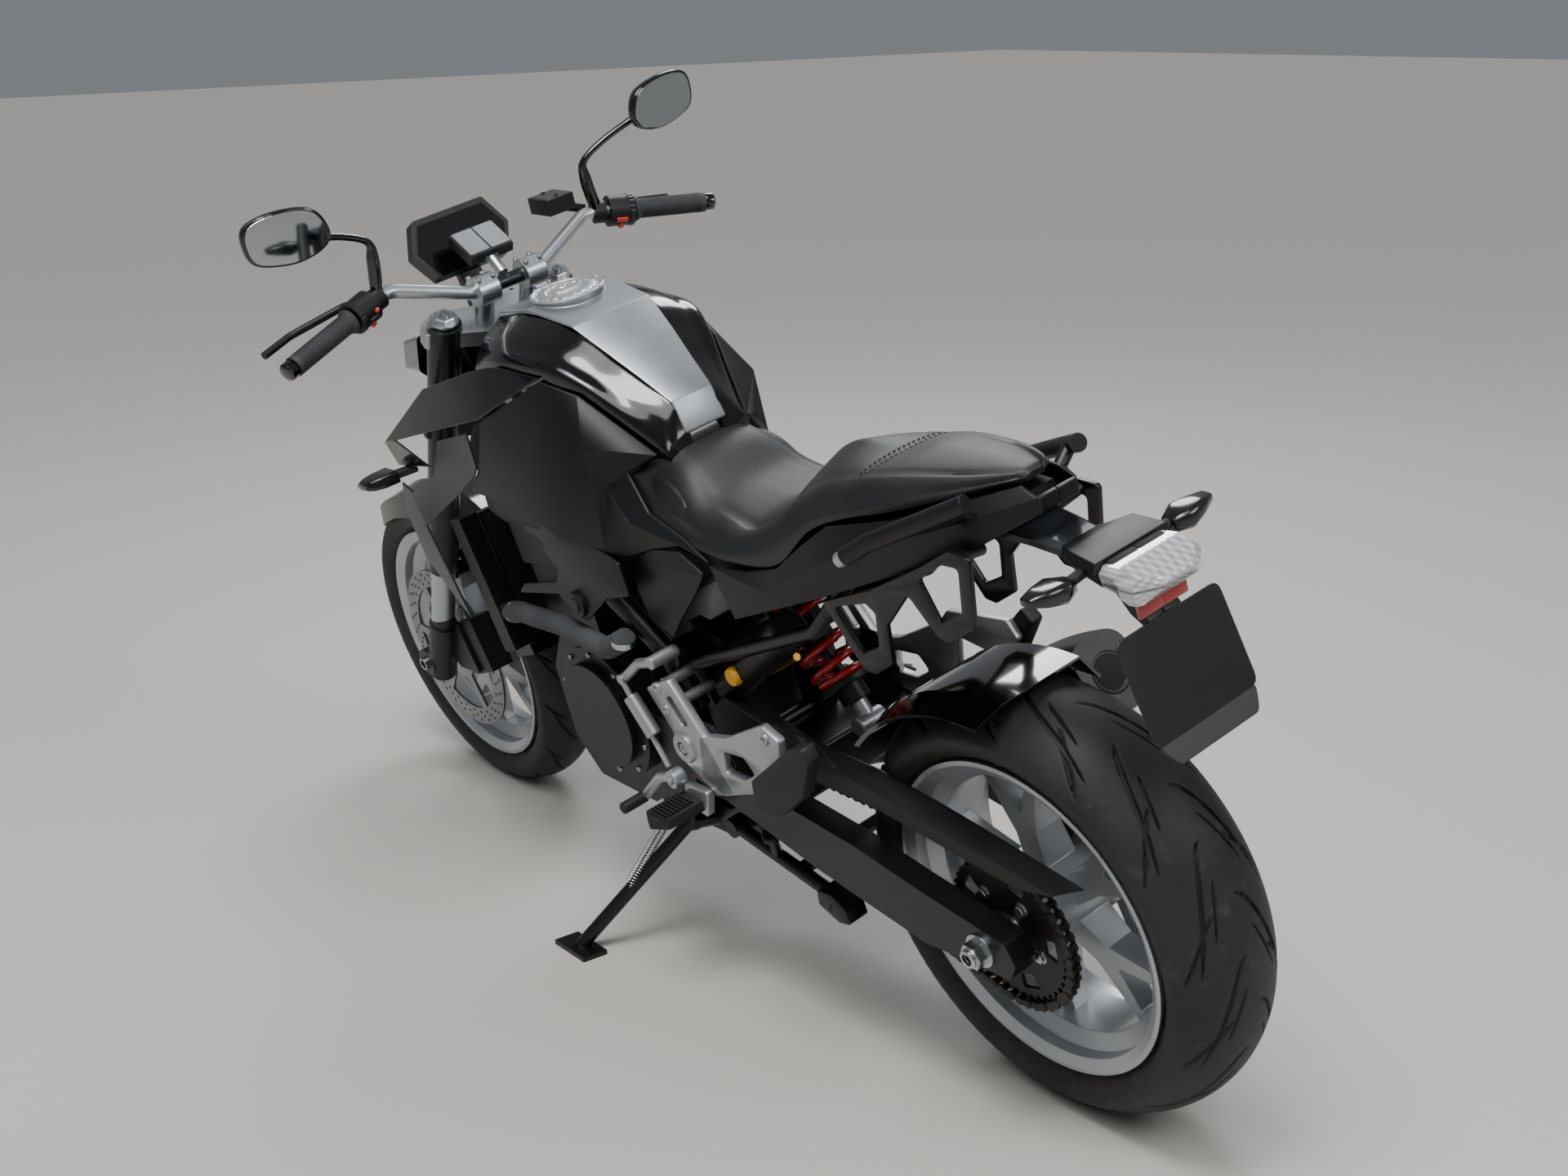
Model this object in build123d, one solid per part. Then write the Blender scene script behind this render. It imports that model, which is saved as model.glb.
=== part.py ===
from build123d import *

import os
from math import asin, atan2, cos, degrees, pi, radians, sin

# A naked street motorcycle with a parallel twin, parked on its side stand.
# The pieces are drawn upright, in millimetres: X forward from the rear axle, Y to the
# rider's left, Z up from the road. At the end they lean together onto the side stand.

# ---- driving sizes: chassis
wheelbase = 1518.0
lean_angle = 13.5
rake = 29.5
trail = 114.0
wall = 4.0  # moulded covers
running_gap = 0.05  # between a shaft and its bore, on the radius

# ---- driving sizes: wheels
rear_tyre_radius = 315.0
rear_tyre_half = 90.0
rear_crown_drop = 45.0
front_tyre_radius = 300.0
front_tyre_half = 60.0
front_crown_drop = 30.0
tyre_wall = 9.0
bead_radius = 218.0
rim_lip = 13.0
rear_rim_half = 78.0
front_rim_half = 53.0
rim_wall = 7.0
spoke_count = 5
front_hub_half = 66.0
front_hub_radius = 38.0
rear_hub_left = 100.0
rear_hub_right = 72.0
rear_hub_radius = 52.0
disc_thickness = 5.0
front_disc_radius = 160.0
rear_disc_radius = 125.0
disc_band = 34.0
front_axle_radius = 12.0
front_axle_bore = 8.5
rear_axle_radius = 14.0
rear_axle_bore = 8.0

# ---- driving sizes: drive
chain_pitch = 15.875
chain_half_width = 8.5
chain_half_height = 7.0
rear_teeth = 44
front_teeth = 17
gearbox_shaft_x = 640.0
gearbox_shaft_z = 385.0
sprocket_thickness = 6.0

# ---- driving sizes: swingarm and stands
pivot_x = 580.0
pivot_z = 392.0
arm_inner = 118.0
arm_outer = 156.0
side_stand_pivot = Vector(700, 128, 243)
side_stand_foot = Vector(795, 338, 0)  # where the foot plate's middle meets the floor
side_stand_tilt = Vector(-0.175, 1.0, 0.45)  # direction of its hinge pin
centre_stand_x = 606.0
centre_stand_z = 255.0

# ---- driving sizes: fork and handlebar
fork_half = 107.0
fork_offset = 34.0
outer_tube = 27.0
inner_tube = 21.5
fork_top = 830.0
outer_tube_low = 265.0
stem_radius = 15.0
head_tube_radius = 32.0
lower_clamp = 595.0
lower_clamp_height = 36.0
upper_clamp = 790.0
upper_clamp_height = 30.0
handlebar_radius = 11.1
grip_radius = 16.5
grip_length = 125.0


# ---- drawing helpers
def outline(points, radius=0.0):
    # closed face, its corners rounded by one radius or by a list
    if radius:
        return make_face(FilletPolyline(*points, radius=radius, close=True))
    return make_face(Polyline(*points, close=True))


def slab(points, y_low, y_high, radius=0.0):
    # side outline of (x, z) points, carried from y_low to y_high
    return extrude(Plane.XZ.offset(-y_high) * outline(points, radius), y_high - y_low)


def plan(points, z_low, z_high, radius=0.0):
    # plan outline of (x, y) points, carried from z_low to z_high
    return extrude(Plane.XY.offset(z_low) * outline(points, radius), z_high - z_low)


across = Plane(origin=(0, 0, 0), x_dir=(0, 1, 0), z_dir=(1, 0, 0))


def turned(points):
    # section of (y, radius) points, turned about Y
    return revolve(across * outline(points), Axis.Y)


def rod(start, end, radius, bore=0.0):
    start = Vector(*start)
    end = Vector(*end)
    low = (Align.CENTER, Align.CENTER, Align.MIN)
    bar = Cylinder(radius, (end - start).length, align=low)
    if bore:
        bar -= Cylinder(bore, (end - start).length, align=low)
    return Plane(origin=start, z_dir=end - start) * bar


def cross_rod(x, z, y_low, y_high, radius, bore=0.0):
    return rod((x, y_low, z), (x, y_high, z), radius, bore)


def pipe(points, radius, bend, bore=0.0):
    # straight runs joined by tangent bends
    path = FilletPolyline(*points, radius=bend)
    section = Circle(radius)
    if bore:
        section -= Circle(bore)
    return sweep(Plane(origin=path @ 0, z_dir=path % 0) * section, path)


def block(x, y, z):
    size = (x[1] - x[0], y[1] - y[0], z[1] - z[0])
    return Pos((x[0] + x[1]) / 2, (y[0] + y[1]) / 2, (z[0] + z[1]) / 2) * Box(*size)


def both(shape):
    # the shape and its mirror image on the other side
    return shape + mirror(shape, about=Plane.XZ)


def section_at(x, left_half, radius):
    # face across the machine; left_half runs from the top middle to the bottom middle
    right_half = [(-y, z) for y, z in reversed(left_half) if y > 0]
    return Plane(origin=(x, 0, 0), x_dir=(0, 1, 0), z_dir=(1, 0, 0)) * outline(left_half + right_half, radius)


def faceted(corners, facets, depth):
    # flat-faced panel: named outer corners, facets as strings of their names,
    # and the step from the outer skin to the inner one
    outer = {name: Vector(*xyz) for name, xyz in corners.items()}
    inner = {name: point + Vector(*depth) for name, point in outer.items()}
    triangles = [f[0] + f[k : k + 2] for f in facets for k in range(1, len(f) - 1)]
    sides = [side for t in triangles for side in (t[:2], t[1:], t[2] + t[0])]
    rim_sides = [s for s in sides if s[::-1] not in sides]
    rings = [[outer[n] for n in t] for t in triangles]
    rings += [[inner[n] for n in reversed(t)] for t in triangles]
    rings += [[outer[s[1]], outer[s[0]], inner[s[0]]] for s in rim_sides]
    rings += [[outer[s[1]], inner[s[0]], inner[s[1]]] for s in rim_sides]
    skin = Solid(Shell([Face(Wire.make_polygon(ring, close=True)) for ring in rings]))
    return Part() + skin


# ---- steering line
up_fork = Vector(-sin(radians(rake)), 0, cos(radians(rake)))
ahead = Vector(cos(radians(rake)), 0, sin(radians(rake)))
front_axle = Vector(wheelbase, 0, front_tyre_radius)
axis_foot = Vector(wheelbase + trail, 0, 0)
axle_lead = (front_axle - axis_foot).dot(ahead) - fork_offset
tube_foot = front_axle - ahead * axle_lead


def on_fork(along, forward=0.0, left=0.0):
    # measured up the fork from beside the axle, ahead of the tubes, and to the left
    return tube_foot + up_fork * along + ahead * forward + Vector(0, left, 0)


def fork_frame(along):
    # square to the fork, local x ahead and local y left
    return Plane(origin=on_fork(along), x_dir=ahead, z_dir=up_fork)


# ---- parked attitude
def crown_radius(half, drop):
    return (half * half + drop * drop) / (2 * drop)


def sink(half, drop):
    # how far a round tread sinks below its upright height when it leans
    return crown_radius(half, drop) * (1 - cos(radians(lean_angle)))


rear_sink = sink(rear_tyre_half, rear_crown_drop)
front_sink = sink(front_tyre_half, front_crown_drop)
nose_down = degrees(atan2(rear_sink - front_sink, wheelbase))
parked = Pos(0, 0, rear_sink) * Rot(0, nose_down, 0) * Rot(-lean_angle, 0, 0)


# ---- wheels
def tyre(radius, half, drop, bead_half):
    shoulder = radius - drop
    flank = (shoulder + bead_radius) / 2
    lip = bead_radius + rim_lip + 2
    inner_half = half - tyre_wall
    thin = bead_half - tyre_wall
    profile = Polyline((thin, bead_radius), (bead_half, bead_radius), (bead_half, lip))
    profile += ThreePointArc((bead_half, lip), (half - 3, flank + 8), (half, shoulder))
    profile += ThreePointArc((half, shoulder), (0, radius), (-half, shoulder))
    profile += ThreePointArc((-half, shoulder), (3 - half, flank + 8), (-bead_half, lip))
    profile += Polyline((-bead_half, lip), (-bead_half, bead_radius), (-thin, bead_radius))
    profile += Line((-thin, bead_radius), (-inner_half, shoulder - tyre_wall))
    profile += ThreePointArc(
        (-inner_half, shoulder - tyre_wall), (0, radius - tyre_wall), (inner_half, shoulder - tyre_wall)
    )
    profile += Line((inner_half, shoulder - tyre_wall), (thin, bead_radius))
    return revolve(across * make_face(profile), Axis.Y)


def rim(half, hub_radius, hub_low, hub_high, bore, spoke_half):
    # cast wheel: dropped barrel between two lips, hub, and spokes that split at the barrel
    seat = half - 8
    well = bead_radius - 20
    lip = bead_radius + rim_lip
    side = [(half, lip), (seat, lip - 2), (seat, bead_radius), (seat - 18, bead_radius), (seat - 32, well)]
    under = [
        (half, lip - rim_wall), (seat, bead_radius - rim_wall),
        (seat - 18, bead_radius - rim_wall), (seat - 32, well - rim_wall),
    ]
    left_edge = [(-y, r) for y, r in side]
    left_under = [(-y, r) for y, r in under]
    barrel = turned(left_edge + side[::-1] + under + left_under[::-1])
    reach = well - rim_wall / 2
    spoke = slab(
        [(hub_radius - 6, -20), (0.5 * reach, -20), (reach, -58), (reach, 58), (0.5 * reach, 20), (hub_radius - 6, 20)],
        -spoke_half, spoke_half,
    )
    spoke -= slab([(0.62 * reach, 0), (0.95 * reach, -38), (0.95 * reach, 38)], -spoke_half, spoke_half, 5)
    spoke &= turned([(-spoke_half, 0), (-0.4 * spoke_half, reach + 1), (0.4 * spoke_half, reach + 1), (spoke_half, 0)])
    wheel = cross_rod(0, 0, hub_low, hub_high, hub_radius)
    for k in range(spoke_count):
        wheel += Rot(0, 360 * k / spoke_count, 0) * spoke
    return wheel + barrel - cross_rod(0, 0, hub_low, hub_high, bore)


def brake_disc(radius, y_low, hub_radius, bore, arms):
    # ring on a carrier with splayed arms
    y_high = y_low + disc_thickness
    disc = cross_rod(0, 0, y_low, y_high, radius, radius - disc_band)
    disc += cross_rod(0, 0, y_low, y_high, hub_radius, bore)
    arm = slab(
        [(hub_radius - 5, -6), (radius - disc_band + 4, 4), (radius - disc_band + 4, 20), (hub_radius - 5, 12)],
        y_low, y_high,
    )
    for k in range(arms):
        disc += Rot(0, 360 * k / arms, 0) * arm
    return disc


def pitch_radius(teeth):
    return chain_pitch / (2 * sin(pi / teeth))


chain_y = rear_hub_left + sprocket_thickness / 2
tooth_gap = chain_half_height + 1.5  # tooth tips under the pin line of a fixed chain


def sprocket(teeth, bore, windows):
    tip = pitch_radius(teeth) - tooth_gap
    root = tip - 6
    step = 2 * pi / teeth
    points = []
    for k in range(teeth):
        for share, r in ((-0.3, root), (-0.1, tip), (0.1, tip), (0.3, root)):
            points.append((r * cos(step * (k + share)), r * sin(step * (k + share))))
    wheel = slab(points, chain_y - sprocket_thickness / 2, chain_y + sprocket_thickness / 2)
    for k in range(windows):
        cut = slab([(64, -12), (86, -18), (86, 18), (64, 12)], chain_y - 10, chain_y + 10, 4)
        wheel -= Rot(0, 360 * (k + 0.5) / windows, 0) * cut
    return wheel - cross_rod(0, 0, chain_y - 10, chain_y + 10, bore)


def chain_path():
    # points one pitch apart round both sprockets, each with its outward direction
    big = pitch_radius(rear_teeth)
    small = pitch_radius(front_teeth)
    gap = Vector(gearbox_shaft_x, gearbox_shaft_z - rear_tyre_radius)
    rise = atan2(gap.Y, gap.X)
    taper = asin((big - small) / gap.length)
    straight = gap.length * cos(taper)
    front_wrap = small * (pi - 2 * taper)
    total = 2 * straight + front_wrap + big * (pi + 2 * taper)
    links = 2 * round(total / chain_pitch / 2)
    path = []
    for k in range(links):
        s = total * k / links
        turn = 0.0
        share = s / straight
        if s > straight:
            share = 1.0
            turn = (s - straight) / small
        if s > straight + front_wrap:
            turn = pi - 2 * taper
            share = 1.0 - (s - straight - front_wrap) / straight
        if s > 2 * straight + front_wrap:
            share = 0.0
            turn = pi - 2 * taper + (s - 2 * straight - front_wrap) / big
        angle = rise + pi / 2 - taper - turn
        outward = Vector(cos(angle), sin(angle))
        path.append((gap * share + outward * (big + (small - big) * share), outward))
    return path


def drive_chain():
    # one closed loop of link plates, waisted between the pins
    path = chain_path()
    outer = []
    inner = []
    for k, (pin, outward) in enumerate(path):
        after, after_outward = path[(k + 1) % len(path)]
        middle = (pin + after) * 0.5
        middle_outward = (outward + after_outward).normalized()
        outer += [pin + outward * chain_half_height, middle + middle_outward * 5.4]
        inner += [pin - outward * chain_half_height, middle - middle_outward * 5.4]
    ring = outline([(v.X, v.Y) for v in outer]) - outline([(v.X, v.Y) for v in inner])
    loop = extrude(Plane.XZ.offset(-(chain_y + chain_half_width)) * ring, 2 * chain_half_width)
    return Pos(0, 0, rear_tyre_radius) * loop


rear_hub = Pos(0, 0, rear_tyre_radius)
front_hub = Pos(wheelbase, 0, front_tyre_radius)
nodes = {}

nodes["rear_tyre"] = rear_hub * tyre(rear_tyre_radius, rear_tyre_half, rear_crown_drop, rear_rim_half - 8)
nodes["front_tyre"] = front_hub * tyre(front_tyre_radius, front_tyre_half, front_crown_drop, front_rim_half - 8)
nodes["rear_rim"] = rear_hub * rim(
    rear_rim_half, rear_hub_radius, -rear_hub_right, rear_hub_left, rear_axle_radius + running_gap, 32
)
nodes["front_rim"] = front_hub * rim(
    front_rim_half, front_hub_radius, -front_hub_half, front_hub_half, front_axle_radius + running_gap, 24
)
left_disc = brake_disc(front_disc_radius, front_hub_half, 60, 30, 6)
nodes["front_discs"] = front_hub * both(left_disc)
nodes["rear_disc"] = rear_hub * brake_disc(rear_disc_radius, -rear_hub_right - disc_thickness, 55, 30, 6)
nodes["rear_sprocket"] = rear_hub * sprocket(rear_teeth, 30, 5)
nodes["drive_chain"] = drive_chain()


# ---- rear axle, swingarm, suspension
def swingarm():
    arm = slab(
        [
            (pivot_x + 30, pivot_z - 20), (pivot_x + 30, pivot_z + 20), (pivot_x - 40, pivot_z + 24),
            (233, rear_tyre_radius + 72), (118, rear_tyre_radius + 52), (-48, rear_tyre_radius + 28),
            (-62, rear_tyre_radius), (-48, rear_tyre_radius - 27), (117, rear_tyre_radius - 39),
            (338, rear_tyre_radius - 4), (pivot_x - 60, pivot_z - 40),
        ],
        arm_inner, arm_outer, 8,
    )
    arm -= cross_rod(0, rear_tyre_radius, arm_inner, arm_outer, rear_axle_radius)
    body = both(arm)
    body += slab([(440, 335), (530, 345), (540, 405), (450, 405)], -arm_inner, arm_inner, 8)
    body += cross_rod(pivot_x, pivot_z, -arm_outer - 6, arm_outer + 6, 14)
    return body


def rear_axle():
    y_in = rear_hub_left + sprocket_thickness + 3
    axle = cross_rod(0, 0, -arm_outer - 22, arm_outer + 22, rear_axle_radius)
    axle += cross_rod(0, 0, y_in, arm_inner, 21)
    axle += cross_rod(0, 0, -arm_inner, -rear_hub_right - disc_thickness - 3, 21)
    axle += cross_rod(0, 0, arm_outer, arm_outer + 4, 24)
    axle += cross_rod(0, 0, -arm_outer - 4, -arm_outer, 24)
    axle += Plane.XZ.offset(-arm_outer - 20) * extrude(RegularPolygon(19, 6), 16)
    axle += Plane.XZ.offset(arm_outer + 4) * extrude(RegularPolygon(19, 6), 16)
    return Pos(0, 0, rear_tyre_radius) * (axle - cross_rod(0, 0, -300, 300, rear_axle_bore))


shock_top = Vector(520, 0, 705)
shock_foot = Vector(352, 0, 466)


def shock_absorber():
    line = (shock_foot - shock_top).normalized()
    body = rod(shock_top, shock_top + line * 60, 15)
    body += rod(shock_top + line * 50, shock_top + line * 170, 24)
    body += rod(shock_top + line * 160, shock_foot, 9)
    body += rod(shock_foot - line * 52, shock_foot - line * 40, 38)
    body += rod(shock_top + line * 40, shock_top + line * 50, 38)
    body += cross_rod(shock_top.X, shock_top.Z, -18, 18, 16)
    body -= cross_rod(shock_top.X, shock_top.Z, -18, 18, 7)
    body += cross_rod(shock_foot.X, shock_foot.Z, -18, 18, 16)
    return body


def shock_spring():
    line = (shock_foot - shock_top).normalized()
    start = shock_top + line * 50
    end = shock_foot - line * 52
    return rod(start, end, 42, 30)


def hugger():
    inner_radius = rear_tyre_radius + 9
    shell = revolve(
        across * outline(
            [
                (-102, inner_radius - 45), (-70, inner_radius), (70, inner_radius), (114, inner_radius - 14),
                (118, inner_radius - 8), (70, inner_radius + wall), (-70, inner_radius + wall), (-106, inner_radius - 43),
            ]
        ),
        Axis.Y, 52,
    )
    return Rot(0, -4, 0) * shell


def rear_caliper():
    body = block((-48, 48), (-98, -52), (82, rear_disc_radius + 12))
    body -= cross_rod(0, 0, -rear_hub_right - disc_thickness - 3.5, 3.5 - rear_hub_right, rear_disc_radius + 6)
    body = Rot(0, 55, 0) * body
    carrier = slab([(-20, -24), (24, -22), (118, 44), (104, 84), (60, 96)], -arm_inner, -arm_inner + 8, 8)
    carrier += Rot(0, 55, 0) * block((-30, 30), (-arm_inner + 4, -96), (100, rear_disc_radius + 8))
    carrier -= cross_rod(0, 0, -200, 0, 21)
    return Pos(0, 0, rear_tyre_radius) * (body + carrier)


nodes["rear_caliper"] = rear_caliper()
nodes["swingarm"] = swingarm()
nodes["rear_axle"] = rear_axle()
nodes["shock_absorber"] = shock_absorber()
nodes["shock_spring"] = shock_spring()


# ---- engine
def engine_block():
    crankcase = slab(
        [
            (632, 300), (650, 275), (765, 268), (800, 240), (960, 240), (1012, 300), (1018, 430),
            (960, 520), (800, 545), (690, 530), (636, 440),
        ],
        -125, 88, 12,
    )
    crankcase += slab([(705, 272), (765, 268), (800, 240), (960, 240), (1012, 300), (1018, 430), (960, 520), (705, 520)], -125, 125, 10)
    barrel = slab([(840, 500), (985, 500), (1030, 705), (870, 740)], -120, 120, 8)
    head = slab([(850, 650), (1025, 620), (1048, 735), (1015, 770), (885, 800), (862, 780)], -125, 125, 10)
    return crankcase + barrel + head


def engine_covers():
    alternator = cross_rod(812, 425, 125, 165, 112) + cross_rod(812, 425, 165, 180, 88)
    clutch = cross_rod(760, 400, -172, -125, 118) + cross_rod(760, 400, -186, -172, 84)
    sprocket_cover = slab([(622, 335), (715, 322), (715, 450), (622, 440)], 125, 146, 10)
    return alternator + clutch + sprocket_cover


def front_sprocket():
    wheel = Pos(gearbox_shaft_x, 0, gearbox_shaft_z) * sprocket(front_teeth, 12, 0)
    return wheel + cross_rod(gearbox_shaft_x, gearbox_shaft_z, 88, 118, 12)


nodes["engine_block"] = engine_block() + front_sprocket()
nodes["engine_covers"] = engine_covers()


# ---- frame
def main_frame():
    head_low = on_fork(lower_clamp + lower_clamp_height + 8, -fork_offset)
    head_high = on_fork(upper_clamp - 8, -fork_offset)
    bore = stem_radius + running_gap
    head = rod(head_low, head_high, head_tube_radius)
    beam = pipe([(1105, 30, 880), (1000, 95, 850), (900, 148, 800), (720, 148, 650), (640, 126, 560), (612, 112, 470)], 17, 30)
    plate = slab([(550, 345), (608, 345), (612, 460), (650, 540), (630, 600), (560, 590), (545, 440)], 66, 88, 8)
    plate -= cross_rod(pivot_x, pivot_z, 60, 90, 14)
    plate += slab(
        [(556, 352), (600, 352), (606, 285), (640, 262), (722, 258), (722, 226), (640, 226), (570, 236)], 66, 88, 6
    )
    head_mount = slab([(870, 775), (950, 820), (960, 700), (905, 690)], 125, 140, 6)
    frame = both(beam + plate + head_mount)
    pin = side_stand_tilt.normalized()
    frame += rod(side_stand_pivot - pin * 60, side_stand_pivot - pin * 11, 15)
    frame += cross_rod(628, 560, -132, 132, 20)
    frame += cross_rod(565, 575, -88, 88, 16)
    ear = slab([(553, 560), (590, 560), (552, 728), (500, 728), (500, 690), (538, 684)], 19, 27, 4)
    frame += both(ear) + cross_rod(shock_top.X, shock_top.Z, -27, 27, 7)
    frame += head
    return frame - rod(head_low, head_high, bore)


def rear_subframe():
    rail = pipe([(690, 105, 760), (560, 105, 775), (380, 100, 752), (240, 88, 778), (-60, 50, 895)], 12, 40)
    strut = pipe([(598, 112, 548), (285, 104, 680), (180, 86, 798)], 11, 40)
    frame = both(rail + strut)
    frame += cross_rod(480, 764, -102, 102, 10)
    frame += cross_rod(-20, 880, -54, 54, 10)
    frame += cross_rod(690, 760, -150, 150, 12)
    return frame


nodes["main_frame"] = main_frame()
nodes["rear_subframe"] = rear_subframe()


# ---- radiator and exhaust
def radiator():
    core = slab([(1126, 690), (1064, 470), (1096, 461), (1158, 681)], -132, 132)
    tank = slab([(1129, 694), (1061, 466), (1099, 455), (1163, 685)], 132, 166, 3)
    outlet = rod((1092, 150, 530), (1073, 150, 530), 14)
    return core + both(tank) + outlet


def coolant_hose():
    return pipe([(1065.5, 150, 531), (1000, 166, 556), (850, 172, 572), (730, 175, 566), (668, 176, 600)], 17, 40)


def exhaust():
    header = pipe([(1046, 45, 684), (1070, 45, 670), (1042, 45, 490), (1045, 45, 330), (1000, 40, 205), (880, 32, 198)], 19, 16)
    pipes = both(header)
    pipes += slab([(680, 175), (900, 165), (905, 225), (690, 224)], -60, 60, 14)
    pipes += pipe([(740, -60, 196), (690, -150, 212), (600, -178, 245), (480, -203, 280), (362, -224, 332)], 24, 50)
    muffler_axis = Vector(-332, 22, 218).normalized()
    start = Vector(374, -224, 324)
    base = Plane(origin=start, x_dir=(0, 1, 0), z_dir=muffler_axis)
    sections = [
        base * RectangleRounded(70, 80, 30),
        base.offset(80) * RectangleRounded(100, 118, 34),
        base.offset(370) * RectangleRounded(96, 112, 30),
    ]
    return pipes + loft(sections)


nodes["radiator"] = radiator()
nodes["coolant_hose"] = coolant_hose()
nodes["exhaust"] = exhaust()


# ---- tank and body panels
filler_x = 906.0
filler_bore = 34.0
lid_radius = 42.0
hinge_x = 955.0
hinge_z = 1055.0
tank_stations = [
    (480, 60, 900, 95, 870, 85, 815),
    (560, 75, 962, 112, 915, 85, 840),
    (660, 85, 1018, 140, 975, 110, 850),
    (780, 88, 1042, 182, 1000, 150, 880),
    (900, 80, 1042, 196, 985, 160, 880),
    (985, 62, 1016, 196, 965, 160, 870),
]


def fuel_tank():
    sections = []
    for x, top_half, top, side_half, side, low_half, low in tank_stations:
        half = [(0, top), (top_half, top), (side_half, side), (side_half, side - 45), (low_half, low), (0, low)]
        sections.append(section_at(x, half, 0))
    tank = loft(sections, ruled=True)
    tank -= slab([(940, 780), (1050, 780), (1050, 1000), (975, 920)], -155, 155)
    tank -= slab([(300, 1100), (490, 1100), (498, 915), (590, 855), (590, 700), (300, 700)], -200, 200)
    return tank - rod((filler_x, 0, 1010), (filler_x, 0, 1100), lid_radius)


def tank_centre_panel():
    top = [(x, top) for x, half, top, side_half, side, low_half, low in tank_stations]
    low_edge = [(x, z + 0.3) for x, z in top]
    high_edge = [(x, z + wall) for x, z in reversed(top)]
    strip = slab(low_edge + high_edge, -90, 90)
    outline_top = [(470, 50), (620, 78), (780, 84), (900, 76), (990, 58), (990, -58), (900, -76), (780, -84), (620, -78), (470, -50)]
    strip &= plan(outline_top, 800, 1200)
    ring = rod((filler_x, 0, 1010), (filler_x, 0, 1049), lid_radius)
    ears = both(slab([(944, 1034), (961, 1034), (961, hinge_z + 5), (949, hinge_z + 5)], 10, 14))
    ears += cross_rod(hinge_x, hinge_z, -14, 14, 2.5)
    return strip + ring + ears - rod((filler_x, 0, 1000), (filler_x, 0, 1100), filler_bore)


def tank_shrouds():
    corners = {
        "a": (928, 203, 982), "b": (1090, 205, 915), "c": (1258, 200, 812), "d": (1189, 208, 800),
        "e": (1089, 207, 856), "f": (930, 206, 905),
    }
    left = faceted(corners, ["afeb", "bedc"], (0, -wall - 1, 0))
    return both(left)


def side_panels():
    left = slab(
        [(1024, 778), (1010, 835), (900, 898), (640, 905), (534, 900), (475, 880), (372, 800), (420, 770), (632, 757), (850, 778)],
        180, 180 + wall,
    )
    return both(left)


def radiator_panels():
    left = slab(
        [
            (1029, 862), (1180, 800), (1250, 792), (1245, 740), (1183, 530), (1160, 515), (1150, 600),
            (1147, 707), (965, 802),
        ],
        172, 172 + wall, 4,
    )
    return both(left)


nodes["fuel_tank"] = fuel_tank()
nodes["tank_centre_panel"] = tank_centre_panel()
nodes["tank_shrouds"] = tank_shrouds()
nodes["side_panels"] = side_panels()
nodes["radiator_panels"] = radiator_panels()


def fuel_cap():
    lid = rod((filler_x, 0, 1049.5), (filler_x, 0, 1058), lid_radius)
    lid += rod((filler_x, 0, 1038), (filler_x, 0, 1050), filler_bore - 4)
    lid += block((940, hinge_x), (-8, 8), (hinge_z - 4, 1058)) + cross_rod(hinge_x, hinge_z, -8, 8, 4)
    return lid - cross_rod(hinge_x, hinge_z, -9, 9, 2.5 + running_gap)


nodes["fuel_cap"] = fuel_cap()


# ---- seat and tail
def seat():
    sections = []
    for x, half, top, low in (
        (585, 55, 905, 862), (540, 75, 893, 850), (470, 120, 858, 800), (360, 150, 838, 788), (270, 148, 878, 800),
        (235, 138, 908, 815), (150, 118, 938, 872), (30, 96, 955, 915), (-100, 68, 942, 918),
    ):
        outer = [(0, top), (0.7 * half, top - 4), (half, top - 22), (half - 4, low), (0, low)]
        sections.append(section_at(x, outer, 0))
    cushion = loft(sections, ruled=True)
    return cushion - slab([(488, 1100), (496, 914), (588, 853), (588, 700), (800, 700), (800, 1100)], -200, 200)


def tail_panels():
    left = faceted(
        {
            "a": (456, 132, 757), "b": (373, 130, 677), "c": (220, 132, 778), "d": (250, 150, 800),
            "e": (-60, 108, 868), "f": (150, 128, 866), "g": (-150, 74, 950), "h": (30, 104, 912),
        },
        ["abcd", "dcef", "fegh"], (0, -wall - 1, 0),
    )
    rear = block((-152, -140), (-72, 72), (908, 950))
    return both(left) + rear


def grab_handles():
    left = pipe([(120, 140, 858), (100, 165, 872), (0, 160, 905), (-48, 130, 930), (-92, 104, 925)], 13, 20)
    return both(left)


def luggage_brackets():
    left = pipe([(205, 118, 752), (142, 143, 676), (90, 143, 700), (70, 143, 800), (10, 143, 842), (-30, 143, 775), (-76, 143, 792), (-66, 120, 880)], 7, 8)
    return both(left)


def tail_carrier():
    top = slab([(-40, 880), (-113, 905), (-285, 906), (-290, 896), (-190, 882), (-120, 870), (-60, 862)], -38, 38, 3)
    stalk = slab(
        [(-188, 884), (-211, 884), (-212, 831), (-240, 826), (-261, 812), (-281, 705), (-268, 705), (-240, 800), (-192, 812)],
        -30, 30,
    )
    return top + stalk


def tail_light():
    return slab([(-214, 880), (-290, 892), (-312, 872), (-296, 833), (-218, 835)], -54, 54, 6)


def licence_plate():
    return slab([(-262, 808), (-266, 808), (-298, 640), (-294, 640)], -93, 93)


def rear_indicators():
    left = rod((-202, 32.5, 850), (-202, 66, 861), 8)
    left += slab([(-172, 852), (-222, 850), (-228, 872), (-178, 876)], 60, 150, 8)
    return both(left)


nodes["seat"] = seat()
nodes["tail_panels"] = tail_panels()
nodes["grab_handles"] = grab_handles()
nodes["luggage_brackets"] = luggage_brackets()
nodes["tail_carrier"] = tail_carrier()
nodes["tail_light"] = tail_light()
nodes["licence_plate"] = licence_plate()
nodes["hugger"] = Pos(0, 0, rear_tyre_radius) * hugger()


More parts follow.
